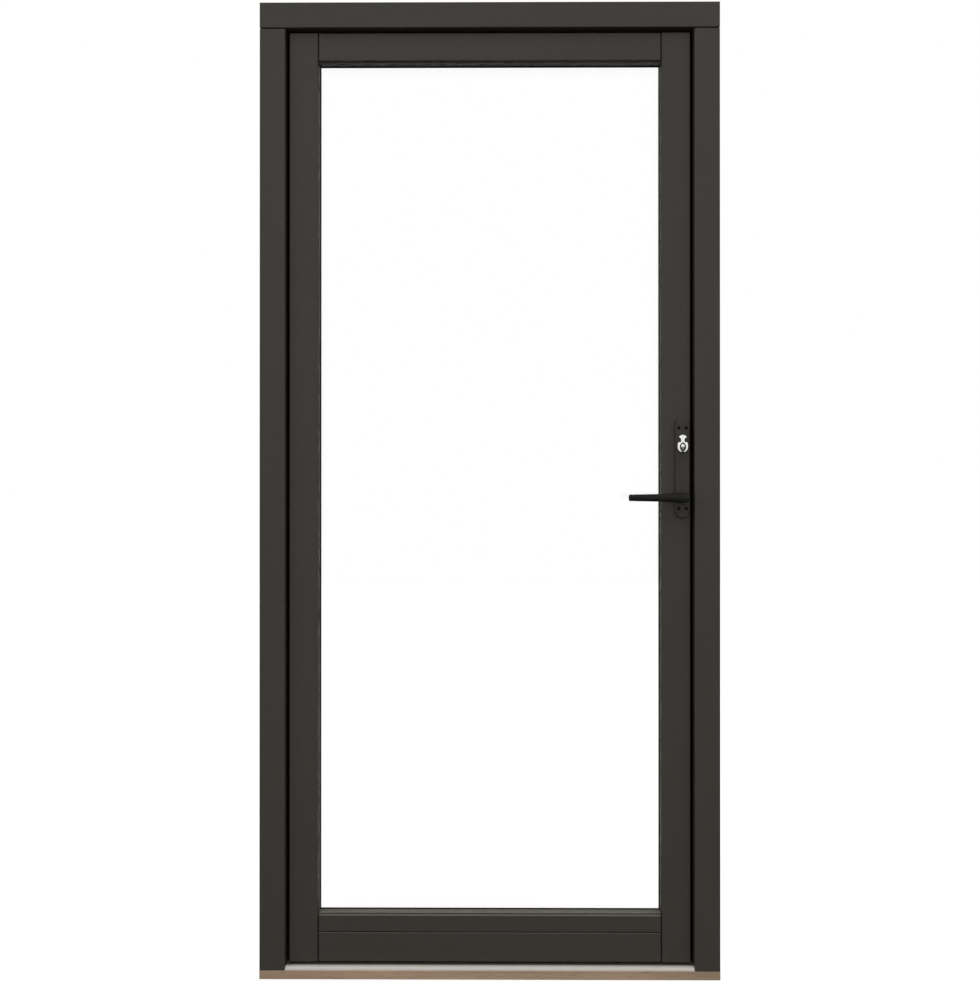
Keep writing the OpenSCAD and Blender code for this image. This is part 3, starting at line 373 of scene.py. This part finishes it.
def beech(finishes):
    """Bare beech with short flecks along the dowel."""
    material, tree, shader, coords = new_material("bare_beech", Specular_IOR_Level=0.2)
    flecks = group(tree, "lines", vector=coords, stretch=(0.15, 1, 1), scale=900.0, waver=0.2)
    wood = group(tree, "drift", vector=coords, scale=30.0, detail=3.0,
                 dark=shade(finishes.beech, 0.88), light=shade(finishes.beech, 1.08))
    share = ramp(tree, flecks.outputs["Lines"], 0.6, 1.0, 0, 0.5)
    flecked = blend(tree, share, wood.outputs["Colour"], shade(finishes.beech, 0.6))
    gloss = group(tree, "gloss", vector=coords, scale=60.0, smooth=0.6, rough=0.8)
    cover(tree, shader, flecked, gloss, bump(tree, flecks.outputs["Lines"], 0.0002, 0.2))
    return material


def metal(name, rgb, smooth, rough, stretch, scale, spread=0.06):
    """Drawn or plated metal: rolling marks along one axis, cloudy colour and uneven gloss."""
    material, tree, shader, coords = new_material(name, Metallic=1.0)
    marks = group(tree, "lines", vector=coords, stretch=stretch, scale=scale, waver=0.1).outputs["Lines"]
    cloud = group(tree, "drift", vector=coords, scale=40.0, detail=5.0,
                  dark=shade(rgb, 1 - spread), light=shade(rgb, 1 + spread))
    share = ramp(tree, marks, 0, 1, 0, 0.5)
    tint = blend(tree, share, cloud.outputs["Colour"], shade(rgb, 1 - 2 * spread))
    gloss = group(tree, "gloss", vector=coords, scale=120.0, smooth=smooth, rough=rough)
    cover(tree, shader, tint, gloss, bump(tree, marks, 0.0001, 0.12))
    return material


def wear_strip(finishes):
    """Anodised strip: drawing marks, painted light on the nosing and the tread, and painted shade along the shut
    leaf and in the jambs' corners.
    """
    nose_front, nose_back = -0.0515, -0.0455  # depths of the rounded nosing
    # Painted shade: the band along the shut leaf and the jambs' corners, where the strip lies in shadow.
    shade_front, shade_full, shade_fade, shade_back = -0.0400, -0.0375, -0.0200, -0.0140  # band along the leaf
    corner_in, corner_out = 0.4200, 0.4280  # half widths where the jambs' corners begin and end
    material, tree, shader, coords = new_material("wear_strip", Metallic=0.3)
    drawing = group(tree, "lines", vector=coords, stretch=DRAWN, scale=DRAWN_SCALE, waver=0.1)
    marks = drawing.outputs["Lines"]
    cloud = group(tree, "drift", vector=coords, scale=40.0, detail=5.0,
                  dark=shade(finishes.aluminium, 0.97), light=shade(finishes.aluminium, 1.03))
    place = add(tree, "ShaderNodeSeparateXYZ", {0: coords}).outputs
    # Painted light: the nosing is dimmed and the tread behind it is lifted, to match how light falls on them.
    tread = ramp(tree, place["Y"], nose_front, nose_back, 0.9, 1.2)
    painted_tread_light = add(tree, "ShaderNodeVectorMath", {
        0: cloud.outputs["Colour"], "Scale": tread}, operation="SCALE").outputs["Vector"]
    drawn = blend(tree, ramp(tree, marks, 0, 1, 0, 0.2), painted_tread_light, shade(finishes.aluminium, 0.94))
    behind = ramp(tree, place["Y"], shade_front, shade_full)
    under = ramp(tree, place["Y"], shade_back, shade_fade)
    corner = ramp(tree, calc(tree, "ABSOLUTE", place["X"]), corner_in, corner_out)
    # Painted shade: the strip is darkened where the shut leaf and the jambs' corners shade it.
    gap_shade_mask = calc(tree, "MULTIPLY", behind, calc(tree, "MAXIMUM", under, corner))
    gloss = group(tree, "gloss", vector=coords, scale=120.0, smooth=0.5, rough=0.62)
    gap_shaded = blend(tree, gap_shade_mask, drawn, shade(finishes.gap_shade))
    cover(tree, shader, gap_shaded, gloss, bump(tree, marks, 0.0001, 0.12))
    return material


def coat(name, rgb, smooth, rough, level, grain=1100.0):
    """Powder coat, rubber or plastic: fine peel, a slight drift of colour and uneven gloss."""
    material, tree, shader, coords = new_material(name, Specular_IOR_Level=level)
    drift = group(tree, "drift", vector=coords, scale=35.0, detail=4.0,
                  dark=shade(rgb, 0.9), light=shade(rgb, 1.1))
    gloss = group(tree, "gloss", vector=coords, scale=90.0, smooth=smooth, rough=rough)
    peel = group(tree, "peel", vector=coords, grain=grain)
    cover(tree, shader, drift.outputs["Colour"], gloss, bump(tree, peel.outputs["Height"], 0.0002, 0.2))
    return material


def almond_mask(tree, flat, radius, shift):
    """1 inside the almond between two equal arcs beside the eye's middle."""
    soft = 0.0002  # half width of the blurred rim
    inside = []
    for side in (-1, 1):
        away = add(tree, "ShaderNodeVectorMath", {0: flat, 1: (side * shift, 0, 0)}, operation="DISTANCE")
        inside.append(ramp(tree, away.outputs["Value"], radius + soft, radius - soft))
    return calc(tree, "MULTIPLY", *inside)


def polished_chrome(finishes, centre):
    """Polished chrome with finger marks, and painted dark shade and reflection in the ground of the eye."""
    eye_r, eye_shift, eye_face = 0.012, 0.0052, -0.0035  # arcs of the eye and the depth of its face
    button_r, button_shift, button_rise = 0.0063, 0.0027, 0.0016  # arcs of the button and its height
    material, tree, shader, coords = new_material("polished_chrome")
    cloud = group(tree, "drift", vector=coords, scale=150.0, detail=4.0,
                  dark=shade(finishes.chrome, 0.95), light=shade(finishes.chrome))
    local = add(tree, "ShaderNodeVectorMath", {0: coords, 1: centre}, operation="SUBTRACT")
    place = add(tree, "ShaderNodeSeparateXYZ", {0: local.outputs["Vector"]}).outputs
    flat = add(tree, "ShaderNodeCombineXYZ", {"X": place["X"], "Y": place["Z"]}).outputs[0]
    raised = add(tree, "ShaderNodeVectorMath", {
        0: flat, 1: (0, button_rise, 0)}, operation="SUBTRACT").outputs["Vector"]
    eye = almond_mask(tree, flat, eye_r, eye_shift)
    button = almond_mask(tree, raised, button_r, button_shift)
    # Painted shade and reflection: the eye's ground is made dark and not metallic, where the hollow shades and
    # mirrors dark surroundings.
    ground = add(tree, "ShaderNodeMath", {0: eye, 1: button}, operation="SUBTRACT", use_clamp=True)
    shown = calc(tree, "MULTIPLY", ground.outputs[0], calc(tree, "LESS_THAN", place["Y"], eye_face))
    tint = blend(tree, shown, cloud.outputs["Colour"], shade(finishes.enamel))
    gloss = group(tree, "gloss", vector=coords, scale=220.0, smooth=0.05, rough=0.16)
    tree.links.new(tint, shader.inputs["Base Color"])
    tree.links.new(calc(tree, "SUBTRACT", 1.0, shown), shader.inputs["Metallic"])
    tree.links.new(gloss.outputs["Roughness"], shader.inputs["Roughness"])
    return material


def clear_glass(finishes):
    """Clear float glass with faint wipe marks; lamp light passes straight through it."""
    material, tree, shader, coords = new_material(
        "clear_glass", Transmission_Weight=1.0, IOR=1.5, Specular_IOR_Level=0.2,
        Specular_Tint=shade(finishes.sheen), Base_Color=shade(finishes.glass))
    gloss = group(tree, "gloss", vector=coords, scale=6.0, smooth=0.0, rough=0.012)
    tree.links.new(gloss.outputs["Roughness"], shader.inputs["Roughness"])
    light = add(tree, "ShaderNodeLightPath")
    open_air = add(tree, "ShaderNodeBsdfTransparent")
    mix = add(tree, "ShaderNodeMixShader", {
        0: light.outputs["Is Shadow Ray"], 1: shader.outputs["BSDF"], 2: open_air.outputs["BSDF"]})
    end = next(n for n in tree.nodes if n.type == "OUTPUT_MATERIAL")
    tree.links.new(mix.outputs["Shader"], end.inputs["Surface"])
    return material


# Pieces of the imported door

def nodes_of(slot):
    """Names of the door's pieces that share a material slot."""
    return [s["node"] for s in frame["record"]["subparts"] if s["material_slot"] == slot]


def body_of(name):
    """Moving body that a piece belongs to."""
    return next(b for b, members in frame["record"]["behaviour"]["bodies"].items() if name in members)


def dress(names, material):
    """Gives the door's own pieces their material."""
    for name in names:
        piece = frame["nodes"][name]
        if not piece.material_slots:
            piece.data.materials.append(material)
        for place in piece.material_slots:
            place.material = material


def is_tall(name):
    """Whether a piece runs upward."""
    low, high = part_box(name)
    return high[2] - low[2] > high[0] - low[0]


# Screws

SHANK_FIT, TIP_END = 0.98, 0.1  # shares of the shank's radius
WELD, RING = 1e-6, 1e-5  # distances that join points and find the end rings
LEAST_FACES = 40  # a whole screw has more faces than this


def screw_tree():
    """Countersunk screw with a cross recess, set on every point along its aim."""
    tree, start, end = new_group(
        "Countersunk Screws",
        [("Geometry", "NodeSocketGeometry", None), ("Head Radius", "NodeSocketFloat", 0.004),
         ("Shank Radius", "NodeSocketFloat", 0.002), ("Length", "NodeSocketFloat", 0.03),
         ("Recess Reach", "NodeSocketFloat", 0.58), ("Recess Width", "NodeSocketFloat", 0.15),
         ("Recess Depth", "NodeSocketFloat", 0.7), ("Sides", "NodeSocketInt", 28),
         ("Seed", "NodeSocketInt", 7), ("Finish", "NodeSocketMaterial", None)],
        [("Geometry", "NodeSocketGeometry")], "GeometryNodeTree")
    given = start.outputs

    def maths(operation, a, b):
        return calc(tree, operation, a, b)

    def vector(x, y, z):
        return add(tree, "ShaderNodeCombineXYZ", {"X": x, "Y": y, "Z": z}).outputs[0]

    def shifted(mesh, z):
        return add(tree, "GeometryNodeTransform", {
            "Geometry": mesh, "Translation": vector(0, 0, z)}).outputs[0]

    head_h = maths("SUBTRACT", given["Head Radius"], given["Shank Radius"])
    cone = add(tree, "GeometryNodeMeshCone", {
        "Vertices": given["Sides"], "Radius Top": given["Head Radius"],
        "Radius Bottom": given["Shank Radius"], "Depth": head_h})
    head = shifted(cone.outputs["Mesh"], maths("MULTIPLY", head_h, -1))
    width = maths("MULTIPLY", given["Head Radius"], 2)
    reach = maths("MULTIPLY", width, given["Recess Reach"])
    blade = maths("MULTIPLY", width, given["Recess Width"])
    depth = maths("MULTIPLY", maths("MULTIPLY", head_h, given["Recess Depth"]), 2)
    bars = [add(tree, "GeometryNodeMeshCube", {"Size": size}).outputs["Mesh"]
            for size in (vector(reach, blade, depth), vector(blade, reach, depth))]
    cut = add(tree, "GeometryNodeMeshBoolean", {"Mesh 1": head}, operation="DIFFERENCE", solver="EXACT")
    for bar in bars:
        tree.links.new(bar, cut.inputs["Mesh 2"])
    shank_len = maths("SUBTRACT", given["Length"], head_h)
    tip_len = maths("MULTIPLY", given["Shank Radius"], 2)
    body_len = maths("SUBTRACT", shank_len, tip_len)
    shank_r = maths("MULTIPLY", given["Shank Radius"], SHANK_FIT)
    shank = add(tree, "GeometryNodeMeshCylinder", {
        "Vertices": given["Sides"], "Radius": shank_r, "Depth": body_len})
    shank_mid = maths("SUBTRACT", maths("MULTIPLY", body_len, -0.5), head_h)
    tip = add(tree, "GeometryNodeMeshCone", {
        "Vertices": given["Sides"], "Radius Top": shank_r,
        "Radius Bottom": maths("MULTIPLY", given["Shank Radius"], TIP_END), "Depth": tip_len})
    whole = add(tree, "GeometryNodeJoinGeometry")
    for mesh in (cut.outputs["Mesh"], shifted(shank.outputs["Mesh"], shank_mid),
                 shifted(tip.outputs["Mesh"], maths("MULTIPLY", given["Length"], -1))):
        tree.links.new(mesh, whole.inputs["Geometry"])
    aim = add(tree, "GeometryNodeInputNamedAttribute", {"Name": "aim"}, data_type="FLOAT_VECTOR")
    facing = add(tree, "FunctionNodeAlignRotationToVector", {"Vector": aim.outputs["Attribute"]}, axis="Z")
    turn = add(tree, "FunctionNodeRandomValue", {"Seed": given["Seed"]}, data_type="FLOAT")
    turn.inputs[3].default_value = math.pi
    spun = add(tree, "FunctionNodeRotateRotation", {
        "Rotation": facing.outputs["Rotation"],
        "Rotate By": add(tree, "FunctionNodeEulerToRotation", {
            "Euler": vector(0, 0, turn.outputs[1])}).outputs[0]}, rotation_space="LOCAL")
    placed = add(tree, "GeometryNodeInstanceOnPoints", {
        "Points": given["Geometry"], "Instance": whole.outputs["Geometry"],
        "Rotation": spun.outputs["Rotation"]})
    real = add(tree, "GeometryNodeRealizeInstances", {"Geometry": placed.outputs["Instances"]})
    finished = add(tree, "GeometryNodeSetMaterial", {
        "Geometry": real.outputs["Geometry"], "Material": given["Finish"]})
    tree.links.new(finished.outputs["Geometry"], end.inputs["Geometry"])
    return tree


def screw_places(name):
    """Head centre, outward aim, head radius, shank radius and length of every screw in a piece."""
    mesh = bmesh.new()
    mesh.from_mesh(frame["nodes"][name].data)
    bmesh.ops.remove_doubles(mesh, verts=mesh.verts, dist=WELD)
    left = set(mesh.verts)
    places = []
    while left:
        island, edge = set(), [left.pop()]
        while edge:
            vert = edge.pop()
            island.add(vert)
            for link in vert.link_edges:
                other = link.other_vert(vert)
                if other in left:
                    left.remove(other)
                    edge.append(other)
        points = [v.co.copy() for v in island]
        low = Vector(min(p[i] for p in points) for i in range(3))
        high = Vector(max(p[i] for p in points) for i in range(3))
        size = high - low
        axis = max(range(3), key=lambda i: size[i])
        middle = (low + high) / 2
        radii = []
        for level in (low[axis], high[axis]):
            ring = [p - middle for p in points if abs(p[axis] - level) < RING]
            radii.append(max(math.hypot(*(r[i] for i in range(3) if i != axis)) for r in ring))
        sign = 1 if radii[1] > radii[0] else -1
        head = middle.copy()
        head[axis] = high[axis] if sign > 0 else low[axis]
        aim = Vector((0, 0, 0))
        aim[axis] = sign
        places.append((head, aim, max(radii), min(radii), size[axis]))
    mesh.free()
    return sorted(places, key=lambda p: tuple(round(c, 5) for c in p[0]))


def drive_screws(name, material, tree, sizes):
    """Screws with a cross recess in place of a piece's plain ones."""
    places = screw_places(name)
    points = bpy.data.meshes.new(name + "_points")
    points.from_pydata([p[0] for p in places], [], [])
    aims = points.attributes.new("aim", "FLOAT_VECTOR", "POINT")
    for item, place in zip(aims.data, places):
        item.vector = place[1]
    piece = bpy.data.objects.new(name + "_driven", points)
    bpy.context.scene.collection.objects.link(piece)
    grow = piece.modifiers.new("Screws", "NODES")
    grow.node_group = tree
    values = {
        "Head Radius": places[0][2], "Shank Radius": places[0][3], "Length": places[0][4],
        "Recess Reach": sizes.recess_reach, "Recess Width": sizes.recess_width,
        "Recess Depth": sizes.recess_depth, "Sides": sizes.sides, "Seed": sizes.seed,
        "Finish": material}
    for item in tree.interface.items_tree:
        if item.in_out == "INPUT" and item.name in values:
            grow[item.identifier] = values[item.name]
    made = piece.evaluated_get(bpy.context.evaluated_depsgraph_get())
    mesh = bpy.data.meshes.new_from_object(made)
    piece.modifiers.clear()
    piece.data = mesh
    if len(mesh.polygons) < LEAST_FACES * len(places):
        raise RuntimeError(f"the screws of {name} came out empty")
    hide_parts(name)
    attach(piece, body_of(name))


# Studio

FLOOR_GAP = 0.0005  # keeps the floor clear of the threshold's underside
FLOOR_GREY = (0.15, 0.15, 0.15, 1)
KEY_PLACE, KEY_TARGET, KEY_SIZE = (-2.6, -4.6, 7.6), (0, 0, 1.1), 5.0
BACK_PLACE, BACK_TARGET, BACK_SIZE = (1.5, 3.2, 3.0), (0, 0, 1.0), 3.0
SENSOR_WIDTH = 36


def seen_ray(tree):
    """1 for rays that show a surface to the eye, straight, mirrored or through glass."""
    path = add(tree, "ShaderNodeLightPath").outputs
    seen = calc(tree, "MAXIMUM", path["Is Camera Ray"], path["Is Glossy Ray"])
    return calc(tree, "MAXIMUM", seen, path["Is Transmission Ray"])


def studio_floor(studio):
    """Wide pale floor that keeps the door's soft shadow."""
    half = studio.floor
    mesh = bpy.data.meshes.new("studio_floor")
    level = CAD_BOX[0][2] - FLOOR_GAP
    corners = [(-half, -half, level), (half, -half, level), (half, half, level), (-half, half, level)]
    mesh.from_pydata(corners, [], [(0, 1, 2, 3)])
    floor = bpy.data.objects.new("studio_floor", mesh)
    bpy.context.scene.collection.objects.link(floor)
    material = bpy.data.materials.new("pale_floor")
    material.use_nodes = True
    tree = material.node_tree
    tree.nodes.clear()
    matt = add(tree, "ShaderNodeBsdfDiffuse", {"Color": FLOOR_GREY})
    path = add(tree, "ShaderNodeLightPath").outputs
    seen = calc(tree, "MAXIMUM", path["Is Camera Ray"], path["Is Transmission Ray"])
    white = add(tree, "ShaderNodeEmission", {"Strength": calc(tree, "MULTIPLY", seen, studio.lift)})
    both = add(tree, "ShaderNodeAddShader", {0: matt.outputs[0], 1: white.outputs[0]})
    add(tree, "ShaderNodeOutputMaterial", {"Surface": both.outputs[0]})
    mesh.materials.append(material)


def studio_world(studio):
    """White all round for the eye, and an even light of its own strength on the door."""
    world = bpy.data.worlds.new("Studio")
    world.use_nodes = True
    tree = world.node_tree
    tree.nodes.clear()
    level = ramp(tree, seen_ray(tree), 0, 1, studio.ambient, 1.0)
    sky = add(tree, "ShaderNodeBackground", {"Color": (1, 1, 1, 1), "Strength": level})
    add(tree, "ShaderNodeOutputWorld", {"Surface": sky.outputs[0]})
    bpy.context.scene.world = world


def lamp(name, place, target, size, power):
    """Square soft lamp aimed at a point, kept out of sight and out of the glass."""
    data = bpy.data.lights.new(name, "AREA")
    data.shape = "SQUARE"
    data.size = size
    data.energy = power
    thing = bpy.data.objects.new(name, data)
    thing.location = place
    thing.rotation_euler = (Vector(target) - Vector(place)).to_track_quat("-Z", "Y").to_euler()
    for kind in ("camera", "glossy", "transmission"):
        setattr(thing, "visible_" + kind, False)
    bpy.context.scene.collection.objects.link(thing)


def studio_camera(studio):
    """Camera at the photograph's angle."""
    data = bpy.data.cameras.new("studio_camera")
    data.sensor_fit = "HORIZONTAL"
    data.sensor_width = SENSOR_WIDTH
    data.lens = studio.lens
    data.shift_y = studio.rise
    camera = bpy.data.objects.new("studio_camera", data)
    camera.location = studio.eye
    camera.rotation_euler = (math.pi / 2 + studio.tilt, 0, studio.pan)
    bpy.context.scene.collection.objects.link(camera)
    bpy.context.scene.camera = camera


# Operators

class DOOR_OT_paint_timber(bpy.types.Operator):
    """Paint the frame, the leaf and the glazing beads, with strokes along each piece"""
    bl_idname = "door.paint_timber"
    bl_label = "Paint timber"

    def execute(self, context):
        finishes = context.scene.door_finishes
        names = nodes_of("painted_wood")
        tall = [n for n in names if is_tall(n)]
        dress(tall, timber_paint("paint_upright", UPRIGHT, finishes))
        dress([n for n in names if n not in tall], timber_paint("paint_level", LEVEL, finishes))
        return {"FINISHED"}


class DOOR_OT_oil_threshold(bpy.types.Operator):
    """Oil the oak threshold and leave the dowels bare"""
    bl_idname = "door.oil_threshold"
    bl_label = "Oil threshold"

    def execute(self, context):
        dress(nodes_of("hardwood"), oak(context.scene.door_finishes))
        dress(nodes_of("dowel_wood"), beech(context.scene.door_finishes))
        return {"FINISHED"}


class DOOR_OT_finish_metal(bpy.types.Operator):
    """Anodise the wear strip and drip bar, and plate the hinges, keepers and lock gear"""
    bl_idname = "door.finish_metal"
    bl_label = "Finish metal"

    def execute(self, context):
        finishes = context.scene.door_finishes
        dress(nodes_of("aluminium"), metal(
            "satin_aluminium", finishes.aluminium, 0.5, 0.62, DRAWN, DRAWN_SCALE, spread=0.03))
        dress(["sill_plate"], wear_strip(finishes))
        dress(nodes_of("zinc_steel"), metal(
            "zinc_plate", finishes.zinc, 0.28, 0.48, ROLLED, ROLLED_SCALE))
        return {"FINISHED"}


class DOOR_OT_finish_handles(bpy.types.Operator):
    """Coat the long plates, the lever and the pull, and chrome the thumbturn and key plug"""
    bl_idname = "door.finish_handles"
    bl_label = "Finish handles"

    def execute(self, context):
        finishes = context.scene.door_finishes
        dress(nodes_of("plate_paint"), coat("plate_coat", finishes.plate, 0.5, 0.62, 0.16))
        dress(nodes_of("black_metal"), coat("black_coat", finishes.black, 0.36, 0.48, 0.08, 1600.0))
        dress(["plate_screws"], coat("blackened_screw", finishes.screw_black, 0.4, 0.55, 0.08, 1600.0))
        turn_front, turn_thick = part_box("thumbturn")[0][1], 0.007
        joint = next(j for j in frame["joints"] if j["name"] == "thumbturn_turn")
        centre = (joint["pos_m"][0], turn_front + turn_thick, joint["pos_m"][2])
        dress(nodes_of("chrome"), polished_chrome(finishes, centre))
        return {"FINISHED"}


class DOOR_OT_glaze(bpy.types.Operator):
    """Clear the panes and finish the spacers and setting blocks"""
    bl_idname = "door.glaze"
    bl_label = "Glaze"

    def execute(self, context):
        finishes = context.scene.door_finishes
        dress(nodes_of("glass"), clear_glass(finishes))
        dress(nodes_of("spacer"), coat("spacer_plastic", finishes.spacer, 0.45, 0.6, 0.3))
        dress(nodes_of("block_plastic"), coat("block_plastic", finishes.plastic, 0.4, 0.6, 0.35))
        return {"FINISHED"}


class DOOR_OT_seal(bpy.types.Operator):
    """Give the gaskets and glazing seals their rubber"""
    bl_idname = "door.seal"
    bl_label = "Seal"

    def execute(self, context):
        rubber = context.scene.door_finishes.rubber
        dress(nodes_of("rubber"), coat("seal_rubber", rubber, 0.65, 0.85, 0.15, 1400.0))
        return {"FINISHED"}


class DOOR_OT_drive_screws(bpy.types.Operator):
    """Drive countersunk screws with a cross recess into hinges, keepers, plates and corners"""
    bl_idname = "door.drive_screws"
    bl_label = "Drive screws"

    def execute(self, context):
        tree = screw_tree()
        for name in ("plate_screws", "hinge_frame_screws", "hinge_leaf_screws",
                     "faceplate_screws", "keeper_screws", "corner_screws"):
            material = frame["nodes"][name].material_slots[0].material
            drive_screws(name, material, tree, context.scene.door_screws)
        return {"FINISHED"}


class DOOR_OT_set_studio(bpy.types.Operator):
    """Set the pale floor, the white surround, the soft lamps and the camera"""
    bl_idname = "door.set_studio"
    bl_label = "Set studio"

    def execute(self, context):
        studio = context.scene.door_studio
        context.scene.view_settings.view_transform = "Standard"
        studio_floor(studio)
        studio_world(studio)
        lamp("key_lamp", KEY_PLACE, KEY_TARGET, KEY_SIZE, studio.key)
        lamp("back_lamp", BACK_PLACE, BACK_TARGET, BACK_SIZE, studio.fill)
        studio_camera(studio)
        return {"FINISHED"}


class DOOR_PT_panel(bpy.types.Panel):
    """Finishes and studio of the door"""
    bl_idname = "DOOR_PT_panel"
    bl_label = "Glazed Door"
    bl_space_type = "VIEW_3D"
    bl_region_type = "UI"
    bl_category = "Door"

    def draw(self, context):
        for operator in OPERATORS:
            self.layout.operator(operator.bl_idname)
        for settings in (context.scene.door_finishes, context.scene.door_screws, context.scene.door_studio):
            column = self.layout.column(align=True)
            for name in settings.__annotations__:
                column.prop(settings, name)


SETTINGS = {"door_finishes": DoorFinishes, "door_screws": DoorScrews, "door_studio": DoorStudio}
OPERATORS = (
    DOOR_OT_paint_timber, DOOR_OT_oil_threshold, DOOR_OT_finish_metal, DOOR_OT_finish_handles,
    DOOR_OT_glaze, DOOR_OT_seal, DOOR_OT_drive_screws, DOOR_OT_set_studio)


def register():
    for name, settings in SETTINGS.items():
        bpy.utils.register_class(settings)
        setattr(bpy.types.Scene, name, PointerProperty(type=settings))
    for operator in OPERATORS:
        bpy.utils.register_class(operator)
    bpy.utils.register_class(DOOR_PT_panel)


def unregister():
    bpy.utils.unregister_class(DOOR_PT_panel)
    for operator in reversed(OPERATORS):
        bpy.utils.unregister_class(operator)
    for name, settings in SETTINGS.items():
        delattr(bpy.types.Scene, name)
        bpy.utils.unregister_class(settings)


def main():
    """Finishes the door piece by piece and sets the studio."""
    register()
    bpy.ops.door.paint_timber()
    bpy.ops.door.oil_threshold()
    bpy.ops.door.finish_metal()
    bpy.ops.door.finish_handles()
    bpy.ops.door.glaze()
    bpy.ops.door.seal()
    bpy.ops.door.drive_screws()
    bpy.ops.door.set_studio()


if __name__ == "__main__":
    main()
